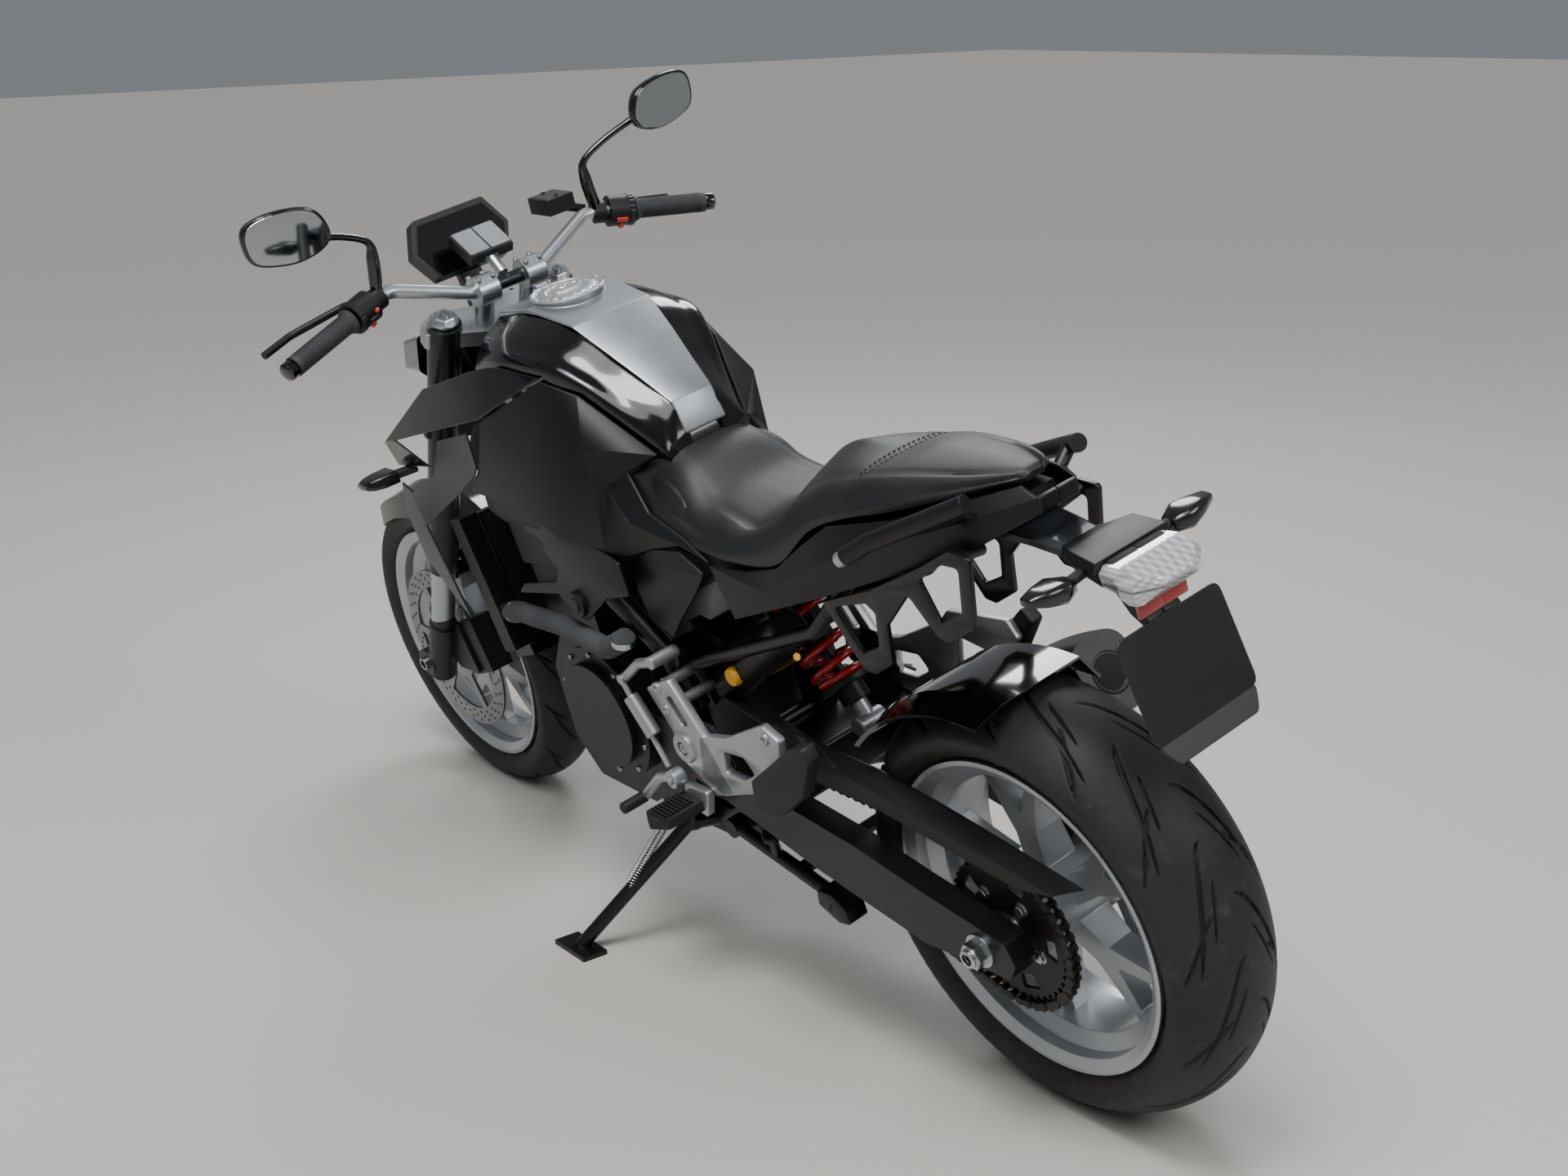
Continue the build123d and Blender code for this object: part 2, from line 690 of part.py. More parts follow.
# ---- footrests, controls and stands
def footrests():
    plate = slab([(652, 530), (576, 552), (538, 467), (493, 397), (599, 411)], arm_outer + 6, arm_outer + 18, 8)
    beam = slab([(576, 552), (430, 575), (420, 545), (560, 510)], arm_outer + 6, arm_outer + 16, 5)
    drop = slab([(440, 560), (300, 440), (290, 405), (320, 400), (470, 540)], arm_outer + 6, arm_outer + 16, 6)
    reach = slab([(440, 572), (300, 590), (250, 578), (256, 556), (430, 548)], -arm_outer - 16, -arm_outer - 6, 6)
    posts = cross_rod(590, 520, 88, arm_outer + 8, 9) + cross_rod(560, 470, 88, arm_outer + 8, 9)
    peg = rod((560, 168, 420), (575, 245, 372), 13)
    hangers = both(plate + beam + posts + peg)
    left_peg = rod((312, 168, 424), (300, 235, 414), 12)
    right_peg = rod((268, -168, 568), (258, -232, 560), 12)
    return hangers + drop + reach + left_peg + right_peg


def foot_controls():
    lever = pipe([(625, 170, 395), (640, 205, 372), (745, 205, 312)], 6, 10) + cross_rod(745, 306, 196, 236, 9)
    brake = pipe([(600, -170, 385), (640, -205, 340), (740, -205, 300)], 6, 10) + cross_rod(740, 294, -236, -200, 11)
    return lever + brake


def side_stand():
    foot = parked.inverse() * Pos(side_stand_foot.X, side_stand_foot.Y, 4) * Box(84, 44, 8)
    end = (parked.inverse() * Pos(side_stand_foot.X, side_stand_foot.Y, 6)).position
    pin = side_stand_tilt.normalized()
    boss = rod(side_stand_pivot - pin * 9, side_stand_pivot + pin * 9, 17)
    leg = rod(side_stand_pivot, end, 11)
    return boss + leg + foot


def centre_stand():
    leg = rod((centre_stand_x, 106, centre_stand_z), (372, 114, 226), 11)
    foot = rod((372, 106, 226), (350, 128, 218), 12)
    boss = cross_rod(centre_stand_x, centre_stand_z, 93, 118, 16)
    stand = both(leg + foot + boss)
    return stand + cross_rod(450, 236, -112, 112, 11)


nodes["footrests"] = footrests()
nodes["foot_controls"] = foot_controls()
nodes["side_stand"] = side_stand()
nodes["centre_stand"] = centre_stand()


# ---- fork and front end
def triple_clamps():
    ears = [(-60, 0), (-44, -46), (0, -fork_half - 34), (24, -fork_half - 30), (40, -fork_half), (22, -40)]
    shape = ears + [(x, -y) for x, y in reversed(ears[1:])]
    clamps = fork_frame(upper_clamp) * extrude(outline(shape, 8), upper_clamp_height)
    clamps += fork_frame(lower_clamp) * extrude(outline(shape, 8), lower_clamp_height)
    clamps += rod(on_fork(lower_clamp, -fork_offset), on_fork(upper_clamp + 30, -fork_offset), stem_radius)
    for side in (-fork_half, fork_half):
        clamps -= rod(on_fork(0, 0, side), on_fork(900, 0, side), outer_tube)
    return clamps


def fork_tubes():
    left = rod(on_fork(outer_tube_low, 0, fork_half), on_fork(fork_top, 0, fork_half), outer_tube, inner_tube)
    left += rod(on_fork(fork_top - 12, 0, fork_half), on_fork(fork_top + 6, 0, fork_half), 23)
    return both(left)


def fork_legs():
    left = rod(on_fork(60, 0, fork_half), on_fork(600, 0, fork_half), inner_tube)
    left += rod(on_fork(-26, 0, fork_half), on_fork(110, 0, fork_half), outer_tube - 1)
    left += rod((wheelbase, 80, front_tyre_radius), (wheelbase, 134, front_tyre_radius), 26)
    lug = Rot(0, caliper_angle, 0) * slab([(-50, 128), (50, 128), (96, 40), (52, 22), (-30, 60)], 92, 99, 6)
    left += front_hub * lug
    left -= rod((wheelbase, 70, front_tyre_radius), (wheelbase, 140, front_tyre_radius), front_axle_radius)
    return both(left)


def front_axle_piece():
    axle = cross_rod(0, 0, -142, 142, front_axle_radius)
    axle += cross_rod(0, 0, 74, 80, 19) + cross_rod(0, 0, -80, -74, 19)
    return front_hub * (axle - cross_rod(0, 0, -160, 160, front_axle_bore))


caliper_angle = -70.0  # about the wheel, back from straight up


def front_calipers():
    body = block((-52, 52), (48, 92), (108, front_disc_radius + 14))
    body -= cross_rod(0, 0, front_hub_half - 3.5, front_hub_half + disc_thickness + 3.5, front_disc_radius + 6)
    return both(front_hub * Rot(0, caliper_angle, 0) * body)


def front_mudguard():
    inner_radius = front_tyre_radius + 12
    shell = revolve(
        across * outline(
            [
                (-70, inner_radius - 45), (-58, inner_radius - 10), (0, inner_radius), (58, inner_radius - 10),
                (70, inner_radius - 45), (74, inner_radius - 44), (61, inner_radius - 6), (0, inner_radius + wall),
                (-61, inner_radius - 6), (-74, inner_radius - 44),
            ]
        ),
        Axis.Y, 110,
    )
    shell = front_hub * Rot(0, -78, 0) * shell
    stay = rod(on_fork(238, 0, 60), on_fork(238, 0, fork_half - inner_tube), 14)
    return shell + both(stay)


def handlebar():
    left = [(1045, 385, 1055), (1094, 186, 1097), (1060, 62, 1053), (1058, 0, 1053)]
    bar = pipe(left, handlebar_radius, 42)
    bar = both(bar)
    riser = rod(on_fork(upper_clamp + upper_clamp_height, -15, 44), (1058, 44, 1053), 17)
    riser += rod((1058, 26, 1053), (1058, 62, 1053), 24)
    return bar + both(riser)


def grips():
    end = Vector(1045, 385, 1055)
    inward = (Vector(1094, 186, 1097) - end).normalized()
    left = rod(end, end + inward * grip_length, grip_radius, handlebar_radius)
    left += rod(end - inward * 18, end, 15)
    return both(left)


def hand_controls():
    end = Vector(1045, 385, 1055)
    inward = (Vector(1094, 186, 1097) - end).normalized()
    switch = rod(end + inward * (grip_length + 3), end + inward * (grip_length + 45), 25, handlebar_radius)
    clamp = rod(end + inward * (grip_length + 50), end + inward * (grip_length + 68), 18)
    lever = pipe([(1118, 206, 1090), (1148, 240, 1084), (1162, 330, 1068), (1148, 384, 1058)], 6, 20)
    perch = rod(end + inward * (grip_length + 59), (1118, 206, 1090), 10)
    bar = rod(end, end + inward * 215, handlebar_radius)
    reservoir = block((1100, 1160), (-178, -128), (1110, 1136)) + rod((1114, -200, 1100), (1124, -168, 1114), 8)
    return both(switch + lever + perch + clamp - bar) + reservoir


def mirrors():
    head = loft(
        [
            Plane(origin=(1058, 345, 1235), x_dir=(0, 1, 0), z_dir=(1, 0, 0)) * RectangleRounded(136, 84, 30),
            Plane(origin=(1088, 345, 1235), x_dir=(0, 1, 0), z_dir=(1, 0, 0)) * RectangleRounded(80, 40, 15),
        ]
    )
    stem = pipe([(1094, 200, 1118), (1087, 196, 1180), (1074, 250, 1212), (1074, 320, 1228)], 6, 18)
    return both(head + stem)


def instruments():
    shape = [(-90, 0), (-66, 48), (66, 48), (90, 0), (66, -52), (-66, -52)]
    face = Plane(origin=(1195, 0, 1100), x_dir=(0, 1, 0), z_dir=Vector(-0.894, 0, 0.447))
    display = extrude(face * outline(shape, 6), 26)
    stay = slab([(1150, 1000), (1170, 1000), (1195, 1080), (1185, 1090)], -20, 20)
    cradle = Plane(origin=(1112, 0, 1108), x_dir=(0, 1, 0), z_dir=Vector(-0.5, 0, 0.866)) * Box(80, 62, 16)
    post = rod((1066, 0, 1064), (1112, 0, 1108), 9)
    return display + stay + cradle + post


def headlight():
    shape = [(-100, 55), (100, 55), (112, 0), (60, -62), (-60, -62), (-112, 0)]
    rear_plane = Plane(origin=(1226, 0, 918), x_dir=(0, 1, 0), z_dir=(1, 0, 0))
    front_plane = Plane(origin=(1328, 0, 900), x_dir=(0, 1, 0), z_dir=(1, 0, 0))
    sections = [rear_plane * outline(shape, 10), front_plane * outline([(0.8 * y, 0.8 * z) for y, z in shape], 8)]
    stay = fork_frame(lower_clamp + lower_clamp_height + 12) * Pos(30, 40, 6) * Box(14, 16, 36)
    yoke = rod((1216, 50, 940), on_fork(upper_clamp + 10, 38, 50), 6)
    return loft(sections) + both(stay + yoke)


def front_indicators():
    left = rod((1192, 181, 782), (1215, 215, 776), 8)
    left += slab([(1190, 768), (1240, 762), (1270, 770), (1240, 786), (1200, 788)], 212, 268, 5)
    return both(left)


nodes["triple_clamps"] = triple_clamps()
nodes["fork_tubes"] = fork_tubes()
nodes["fork_legs"] = fork_legs()
nodes["front_axle"] = front_axle_piece()
nodes["front_calipers"] = front_calipers()
nodes["front_mudguard"] = front_mudguard()
nodes["handlebar"] = handlebar()
nodes["grips"] = grips()
nodes["hand_controls"] = hand_controls()
nodes["mirrors"] = mirrors()
nodes["instruments"] = instruments()
nodes["headlight"] = headlight()
nodes["indicators"] = rear_indicators() + front_indicators()

# ---- park the finished pieces, the origin on the road under the middle of their box
machine = Compound([parked * shape for shape in nodes.values()]).bounding_box()
placed = Pos(-machine.center().X, -machine.center().Y, 0) * parked
os.makedirs("parts", exist_ok=True)
for name, shape in nodes.items():
    export_step(placed * shape, f"parts/{name}.step")
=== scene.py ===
import math
import bmesh
import bpy
import numpy as np
from mathutils import Matrix, Vector


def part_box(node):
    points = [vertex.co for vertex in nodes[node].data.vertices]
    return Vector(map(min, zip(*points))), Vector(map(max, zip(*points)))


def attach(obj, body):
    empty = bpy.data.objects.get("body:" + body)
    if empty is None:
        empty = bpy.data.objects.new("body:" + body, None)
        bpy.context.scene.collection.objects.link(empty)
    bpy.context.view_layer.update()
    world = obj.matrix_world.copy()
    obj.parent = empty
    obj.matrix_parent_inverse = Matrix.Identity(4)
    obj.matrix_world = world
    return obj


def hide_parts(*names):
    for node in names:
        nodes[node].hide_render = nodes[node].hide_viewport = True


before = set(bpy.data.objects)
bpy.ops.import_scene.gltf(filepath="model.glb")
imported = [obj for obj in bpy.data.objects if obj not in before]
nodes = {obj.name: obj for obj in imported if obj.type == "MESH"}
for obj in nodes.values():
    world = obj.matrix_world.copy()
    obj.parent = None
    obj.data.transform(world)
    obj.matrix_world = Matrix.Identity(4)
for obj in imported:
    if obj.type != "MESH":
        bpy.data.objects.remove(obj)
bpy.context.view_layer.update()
print("frame loaded:", len(nodes), "nodes")


# a socket with operators: an expression on masks and values adds its Math nodes
class Wire:
    def __init__(self, tree, socket):
        self.tree = tree
        self.socket = socket

    def maths(self, operation, *others):
        return self.tree.node("ShaderNodeMath", {"operation": operation}, dict(enumerate((self,) + others)))

    def __add__(self, other):
        return self.maths("ADD", other)

    def __sub__(self, other):
        return self.maths("SUBTRACT", other)

    def __rsub__(self, other):
        return self.tree.node("ShaderNodeMath", {"operation": "SUBTRACT"}, {0: other, 1: self})

    def __mul__(self, other):
        return self.maths("MULTIPLY", other)

    def __truediv__(self, other):
        return self.maths("DIVIDE", other)

    def __lt__(self, other):
        return self.maths("LESS_THAN", other)

    def __gt__(self, other):
        return self.maths("GREATER_THAN", other)

    def sine(self):
        return self.maths("SINE")

    def clamped(self):
        return self.maths("MAXIMUM", 0.0).maths("MINIMUM", 1.0)

    # 0 below low, 1 above high, smooth between
    def step(self, low, high):
        share = ((self - low) / (high - low)).clamped()
        return share * share * (3.0 - 2.0 * share)

    __radd__ = __add__
    __rmul__ = __mul__


# one material's node tree
class Finish:
    def __init__(self, name):
        self.material = bpy.data.materials.new(name)
        self.material.use_nodes = True
        self.nodes = self.material.node_tree.nodes
        self.links = self.material.node_tree.links
        self.shader = self.nodes["Principled BSDF"]

    def node(self, kind, settings=None, inputs=None, output=0):
        made = self.nodes.new(kind)
        for name, value in (settings or {}).items():
            setattr(made, name, value)
        for name, value in (inputs or {}).items():
            self.feed(made.inputs[name], value)
        return Wire(self, made.outputs[output])

    def feed(self, socket, value):
        if isinstance(value, Wire):
            self.links.new(value.socket, socket)
        else:
            socket.default_value = value

    def set(self, name, value):
        self.feed(self.shader.inputs[name], rgba(value))

    def place(self):
        return self.node("ShaderNodeTexCoord", output=3)

    def dot(self, first, second):
        return self.node("ShaderNodeVectorMath", {"operation": "DOT_PRODUCT"}, {0: first, 1: second}, 1)

    # upright millimetres: forward, left and up of the rear wheel's foot
    def uprightPlace(self):
        places = []
        for way, lift in ((forwardWay, 0.0), (leftWay, 0.0), (upWay, stance["rearRadius"])):
            distance = self.dot(self.place(), way) - float(np.dot(rearHub, way))
            places.append(distance * 1000.0 + lift)
        return places

    def noise(self, scale, detail=3.0, rough=0.5):
        inputs = {"Vector": self.place(), "Scale": scale, "Detail": detail, "Roughness": rough}
        return self.node("ShaderNodeTexNoise", {}, inputs)

    # distance to the nearest edge between cells
    def cells(self, scale):
        inputs = {"Vector": self.place(), "Scale": scale}
        return self.node("ShaderNodeTexVoronoi", {"feature": "DISTANCE_TO_EDGE"}, inputs)

    def mask(self, name):
        return self.node("ShaderNodeAttribute", {"attribute_name": name}, output=2)

    def mix(self, share, first, second):
        inputs = {0: share, 6: rgba(first), 7: rgba(second)}
        return self.node("ShaderNodeMix", {"data_type": "RGBA"}, inputs, 2)

    # 1 on a sharp edge, 0 on a flat: how far a rounded normal turns from the true one; this mask places the
    #                                 painted edge highlight
    def edges(self, width):
        rounded = self.node("ShaderNodeBevel", {"samples": 4}, {"Radius": width})
        true = self.node("ShaderNodeNewGeometry", output=1)
        return (1.0 - self.dot(rounded, true)).step(0.01, 0.12), rounded

    def bump(self, height, distance, strength=1.0, base=None):
        inputs = {"Strength": strength, "Distance": distance, "Height": height}
        if base is not None:
            inputs["Normal"] = base
        self.set("Normal", self.node("ShaderNodeBump", {}, inputs))


# a "#rrggbb" colour as linear red, green, blue, alpha
def rgba(colour):
    if not isinstance(colour, str):
        return colour
    shares = [int(colour[k:k + 2], 16) / 255 for k in (1, 3, 5)]
    return tuple(c / 12.92 if c <= 0.04045 else ((c + 0.055) / 1.055) ** 2.4 for c in shares) + (1.0,)


# what a look has unless it says otherwise; scales are per metre, grainDepth and edge are in metres
plainLook = dict(
    metallic=0.0, coat=0.0, coatRoughness=0.05, specular=0.5, spread=0.06, patchScale=6.0, scuffScale=45.0,
    grain=0.3, grainScale=900.0, grainDepth=0.00004, edge=0.0, edgeHighlightShare=0.5,
)


# paint, coating or casting: two tones mixed by a soft noise, a fine grain, and a painted highlight, a lighter
# tone on sharp edges;
# zones are boxes with other looks, given by low and high corners in upright millimetres
def painted(name, look, zones=()):
    look = {**plainLook, **look}
    finish = Finish(name)
    patches = finish.noise(look["patchScale"], 4.0)
    shade = patches.step(0.35, 0.65)
    tone = finish.mix(shade, look["colour"], look["second"])
    values = {part: look[part] for part in ("metallic", "roughness", "coat")}
    place = finish.uprightPlace() if zones else ()
    for zone, low, high in zones:
        inside = 1.0
        for distance, least, most in zip(place, low, high):
            inside = (distance > least) * (distance < most) * inside
        other = {**plainLook, **looks[zone]}
        tone = finish.mix(inside, tone, finish.mix(shade, other["colour"], other["second"]))
        for part, value in values.items():
            values[part] = value + inside * (other[part] - value)
    softNormal = None
    # painted highlight: a lighter tone is mixed in along sharp edges
    if look["edge"]:
        edge, softNormal = finish.edges(look["edge"])
        tone = finish.mix(edge * look["edgeHighlightShare"], tone, look.get("edgeHighlightTone", look["second"]))
    scuffs = finish.noise(look["scuffScale"], 5.0, 0.65)
    finish.set("Base Color", tone)
    finish.set("Metallic", values["metallic"])
    finish.set("Roughness", values["roughness"] + (patches + scuffs - 1.0) * look["spread"])
    finish.set("Coat Weight", values["coat"])
    finish.set("Coat Roughness", look["coatRoughness"])
    finish.set("Specular IOR Level", look["specular"])
    finish.bump(finish.noise(look["grainScale"], 2.0), look["grainDepth"], look["grain"], softNormal)
    return finish.material


looks = {
    "frameBlack": dict(
        colour="#070708", second="#0b0b0d", roughness=0.34, spread=0.08, grain=0.25, specular=0.4,
        edge=0.0015, edgeHighlightTone="#2a2c30",
    ),
    "castBlack": dict(
        colour="#0a0a0b", second="#0f0f11", roughness=0.44, spread=0.1, grainScale=500.0, grain=0.45,
        specular=0.4, edge=0.002, edgeHighlightTone="#303236",
    ),
    "matteBlack": dict(
        colour="#0a0a0c", second="#0e0e10", roughness=0.46, spread=0.06, grainScale=1600.0, grain=0.4,
        specular=0.35, edge=0.0014, edgeHighlightTone="#4a4d52", edgeHighlightShare=0.55,
    ),
    "glossBlack": dict(
        colour="#020203", second="#030304", roughness=0.12, spread=0.02, coat=0.8, grain=0.05, edge=0.0015,
    ),
    "flakeBlack": dict(
        colour="#020203", second="#040405", roughness=0.16, spread=0.03, coat=0.6, specular=0.4, grain=0.05,
        edge=0.002,
    ),
    "panelGrey": dict(
        colour="#24272b", second="#2b2f33", roughness=0.36, metallic=0.55, coat=0.2, edge=0.0015,
        edgeHighlightTone="#80858c",
    ),
    "silverPaint": dict(
        colour="#8f9398", second="#999da2", roughness=0.4, metallic=0.8, coat=0.25, grain=0.15,
        edge=0.002, edgeHighlightTone="#d5d8dc",
    ),
    "wheelSilver": dict(
        colour="#9fa3a8", second="#b2b6ba", roughness=0.36, metallic=0.7, coat=0.3, grain=0.15, edge=0.002,
        edgeHighlightTone="#d0d3d6",
    ),
    "castSilver": dict(
        colour="#a3a6aa", second="#b5b8bb", roughness=0.38, metallic=0.8, grainScale=500.0, grain=0.35,
        edge=0.0018, edgeHighlightTone="#dfe1e3",
    ),
    "barSilver": dict(colour="#b7bbbf", second="#b0b4b8", roughness=0.32, metallic=0.9, grain=0.0),
    "tubeGrey": dict(colour="#2b2d31", second="#33363a", roughness=0.3, metallic=0.7),
    "brightSteel": dict(
        colour="#c2c5c8", second="#a6a9ac", roughness=0.26, metallic=1.0, grain=0.1, edge=0.001,
    ),
    "discSteel": dict(
        colour="#7d8083", second="#8f9295", roughness=0.33, metallic=1.0, grain=0.2, scuffScale=160.0,
    ),
    "darkSteel": dict(
        colour="#262524", second="#353331", roughness=0.42, metallic=0.8, grain=0.3, edge=0.001,
        edgeHighlightTone="#77736e",
    ),
    "hoseGrey": dict(
        colour="#35373a", second="#44474a", roughness=0.85, grainScale=420.0, grain=1.0, grainDepth=0.0006,
    ),
    "rubberGrey": dict(colour="#2a2b2d", second="#343538", roughness=0.7, grain=0.6),
    "rubberBlack": dict(colour="#111112", second="#18181a", roughness=0.62, grain=0.6),
    "capPale": dict(
        colour="#c3c6c8", second="#cfd2d3", roughness=0.33, metallic=0.8, grain=0.2, edge=0.0012,
        edgeHighlightTone="#eceeef",
    ),
    "springRed": dict(colour="#a80f16", second="#b9141b", roughness=0.28, coat=0.6, grain=0.1),
    "signalRed": dict(colour="#c01318", second="#cc1a1e", roughness=0.3, coat=0.3, grain=0.1),
    "knobYellow": dict(colour="#d99a1c", second="#e2a526", roughness=0.35, coat=0.2, grain=0.1, edge=0.001),
    "tubeGold": dict(colour="#a67a2c", second="#b5883a", roughness=0.28, metallic=0.9, grain=0.1),
    "lensClear": dict(colour="#c4c8cb", second="#d8dbdd", roughness=0.1, metallic=0.35, coat=1.0, grain=0.05),
    "lensRed": dict(colour="#8f0d10", second="#a31215", roughness=0.12, coat=1.0, grain=0.05),
    "lensSmoked": dict(colour="#120f0d", second="#1a1613", roughness=0.2, coat=0.5, grain=0.05, specular=0.4),
    "screenBlack": dict(colour="#040506", second="#06080b", roughness=0.08, coat=1.0, grain=0.0),
    "plateBlack": dict(
        colour="#0b0c0d", second="#101112", roughness=0.42, grain=0.2, edge=0.001, edgeHighlightTone="#3a3c3f",
    ),
    "mirrorGlass": dict(
        colour="#aeb4b8", second="#b2b8bc", roughness=0.03, metallic=1.0, grain=0.0, spread=0.0,
    ),
    # painted shade: near black for the dark insides of holes and mouths
    "holeShadeBlack": dict(colour="#030303", second="#050505", roughness=0.8, grain=0.1),
    "phoneGrey": dict(colour="#6d7175", second="#7a7e82", roughness=0.5, grain=0.3, edge=0.001),
}
finishes = {name: painted(name, look) for name, look in looks.items()}
print("finishes made:", len(finishes))

# how the machine stands: upright millimetres, X forward and Y left of the rear wheel's foot
stance = {
    "lean": 13.5, "noseDown": 0.0391, "rearRadius": 315.0, "frontRadius": 300.0, "wheelbase": 1518.0,
    "rake": 29.5,
}
leanTurn = Matrix.Rotation(math.radians(-stance["lean"]), 3, "X")
noseTurn = Matrix.Rotation(math.radians(stance["noseDown"]), 3, "Y")
standTurn = np.array(noseTurn @ leanTurn)
hubLow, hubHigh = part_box("rear_tyre")
rearHub = (np.array(hubLow) + np.array(hubHigh)) / 2
forwardWay, leftWay, upWay = (tuple(standTurn[:, k]) for k in range(3))


# upright millimetres become parked metres: a turn about the rear hub
def settle(points):
    return (np.asarray(points, float) - (0.0, 0.0, stance["rearRadius"])) @ standTurn.T / 1000 + rearHub


def unit(vector):
    vector = np.asarray(vector, float)
    return vector / np.linalg.norm(vector, axis=-1, keepdims=True)


# two unit vectors square to an axis
def square(axis):
    axis = unit(axis)
    helper = np.array((0.0, 0.0, 1.0)) if abs(axis[2]) < 0.9 else np.array((1.0, 0.0, 0.0))
    side = unit(np.cross(helper, axis))
    return side, np.cross(axis, side)


# count directions evenly round a circle
def turns(count):
    return np.arange(count) * 2 * np.pi / count


# places on the unit circle of two directions
def onCircle(angle, side, other):
    return np.cos(angle)[:, None] * side + np.sin(angle)[:, None] * other


# points[u, v] joined by quads, v running round; where closed, u runs round too, and otherwise a face ends it
def gridOf(points, closed=False):
    rows, columns = points.shape[:2]
    index = np.arange(rows * columns).reshape(rows, columns)
    ends = [] if closed else [index[:1], index[-1:, ::-1]]
    if closed:
        index = np.concatenate([index, index[:1]])
    index = np.concatenate([index, index[:, :1]], axis=1)
    quads = np.stack([index[:-1, :-1], index[1:, :-1], index[1:, 1:], index[:-1, 1:]], -1).reshape(-1, 4)
    return points.reshape(-1, 3), [quads] + ends


# many equal grids at once: points[copy, u, v], each closed round v and capped at both ends
def manyGrids(points):
    copies, rows, columns = points.shape[:3]
    shift = (rows * columns * np.arange(copies))[:, None, None]
    faces = [(face[None] + shift).reshape(-1, face.shape[1]) for face in gridOf(points[0])[1]]
    return [(points.reshape(-1, 3), faces)]


# half sections of (y, z) mirrored into rings, set at their x and joined; shared ones meet on the middle line
def skinOf(x, half, shared=True):
    ring = np.concatenate([half * (-1, 1), half[:, -2:0:-1] if shared else half[:, ::-1]], 1)
    return gridOf(np.concatenate([np.broadcast_to(x[:, None, None], ring.shape[:2] + (1,)), ring], -1))


# turned form: a (distance along, radius) profile carried round an axis
def lathe(profile, start, axis, steps=32, closed=False):
    along, radius = np.array(profile, float).T[..., None, None]
    ring = onCircle(turns(steps), *square(axis))
    return gridOf(np.array(start, float) + along * unit(axis) + radius * ring, closed)


# round section carried along a path: each ring lies square to the path's direction there
def tube(path, radius, sides, reference):
    path = np.array(path, float)
    way = unit(np.gradient(path, axis=0))
    side = unit(np.cross(way, np.array(reference, float)))
    radius = np.broadcast_to(np.asarray(radius, float), (len(path),))[:, None, None]
    ring = onCircle(turns(sides), side[:, None], np.cross(way, side)[:, None])
    return gridOf(path[:, None] + radius * ring)


# wire wound round a line: its distance along the line and the coil's radius at each step
def coil(start, line, along, radius, turnCount, wire, sides):
    angle = 2 * np.pi * turnCount * np.linspace(0, 1, len(along))
    radius = np.broadcast_to(radius, (len(along),))[:, None]
    path = start + along[:, None] * line + radius * onCircle(angle, *square(line))
    return tube(path, wire, sides, line)


# smooth curve through control points: a uniform Catmull-Rom spline, count points to each run
def curveThrough(controls, count=12):
    controls = np.array(controls, float)
    padded = np.concatenate([2 * controls[:1] - controls[1:2], controls, 2 * controls[-1:] - controls[-2:-1]])
    return np.concatenate([splineRuns(padded, count), controls[-1:]])


# the same curve closed on itself
def closedCurve(controls, count=6):
    controls = np.array(controls, float)
    return splineRuns(np.concatenate([controls[-1:], controls, controls[:2]]), count)


def splineRuns(padded, count):
    t = (np.arange(count) / count)[None, :, None]
    a, b, c, d = (padded[k:len(padded) - 3 + k][:, None] for k in range(4))
    first, second, third = c - a, 2 * a - 5 * b + 4 * c - d, 3 * b - a - 3 * c + d
    return (0.5 * (2 * b + first * t + second * t ** 2 + third * t ** 3)).reshape(-1, padded.shape[1])


# outline moved inwards by a distance: each corner goes along the bisector of its two edges
def inset(points, distance):
    points = np.array(points, float)
    edge = unit(np.roll(points, -1, 0) - points)
    normal = np.stack([-edge[:, 1], edge[:, 0]], 1)
    before = np.roll(normal, 1, 0)
    following = np.roll(points, -1, 0)
    turn = np.sum(points[:, 0] * following[:, 1] - points[:, 1] * following[:, 0])
    step = (before + normal) / (1 + np.sum(before * normal, 1, keepdims=True)) * np.sign(turn)
    return points + step * distance


# flat plate: an outline in the plane of two directions, thickened, its rims eased
def plate(points, thickness, origin, across, up, ease=0.8):
    across, up = unit(across), unit(up)
    out = np.cross(across, up)
    points = np.array(points, float)
    levels = [(0.0, ease), (ease, 0.0), (thickness - ease, 0.0), (thickness, ease)]
    rings = []
    for height, narrowing in levels:
        ring = inset(points, narrowing)
        rings.append(np.array(origin, float) + ring[:, :1] * across + ring[:, 1:] * up + height * out)
    return gridOf(np.array(rings))


def roundRect(width, height, radius, steps=5):
    angle = turns(4)[:, None] + np.linspace(0, np.pi / 2, steps)
    centres = np.array(((1, 1), (-1, 1), (-1, -1), (1, -1))) * (width / 2 - radius, height / 2 - radius)
    return (radius * np.stack([np.cos(angle), np.sin(angle)], -1) + centres[:, None]).reshape(-1, 2)


# corners rounded: each becomes a short quadratic curve between two points set back along its runs
def rounded(points, radius, closed=True, steps=4):
    points = np.array(points, float)
    before, after = np.roll(points, 1, 0) - points, np.roll(points, -1, 0) - points
    half = np.arccos(np.clip(np.sum(unit(before) * unit(after), 1), -1, 1)) / 2
    room = 0.48 * np.minimum(np.linalg.norm(before, axis=1), np.linalg.norm(after, axis=1))
    back = np.minimum(radius / np.tan(np.maximum(half, 0.05)), room)[:, None]
    t = np.linspace(0, 1, steps + 1)[None, :, None]
    first, last = (points + unit(before) * back)[:, None], (points + unit(after) * back)[:, None]
    curve = (1 - t) ** 2 * first + 2 * t * (1 - t) * points[:, None] + t ** 2 * last
    if closed:
        return curve.reshape(-1, points.shape[1])
    return np.concatenate([points[:1], curve[1:-1].reshape(-1, points.shape[1]), points[-1:]])


# round bar along a path with rounded corners; its rings are squared to the plane the path lies nearest to
def pipe(points, radius, bend, sides=16):
    path = rounded(points, bend, False, 6)
    return tube(path, radius, sides, np.linalg.svd(path - path.mean(0))[2][-1])


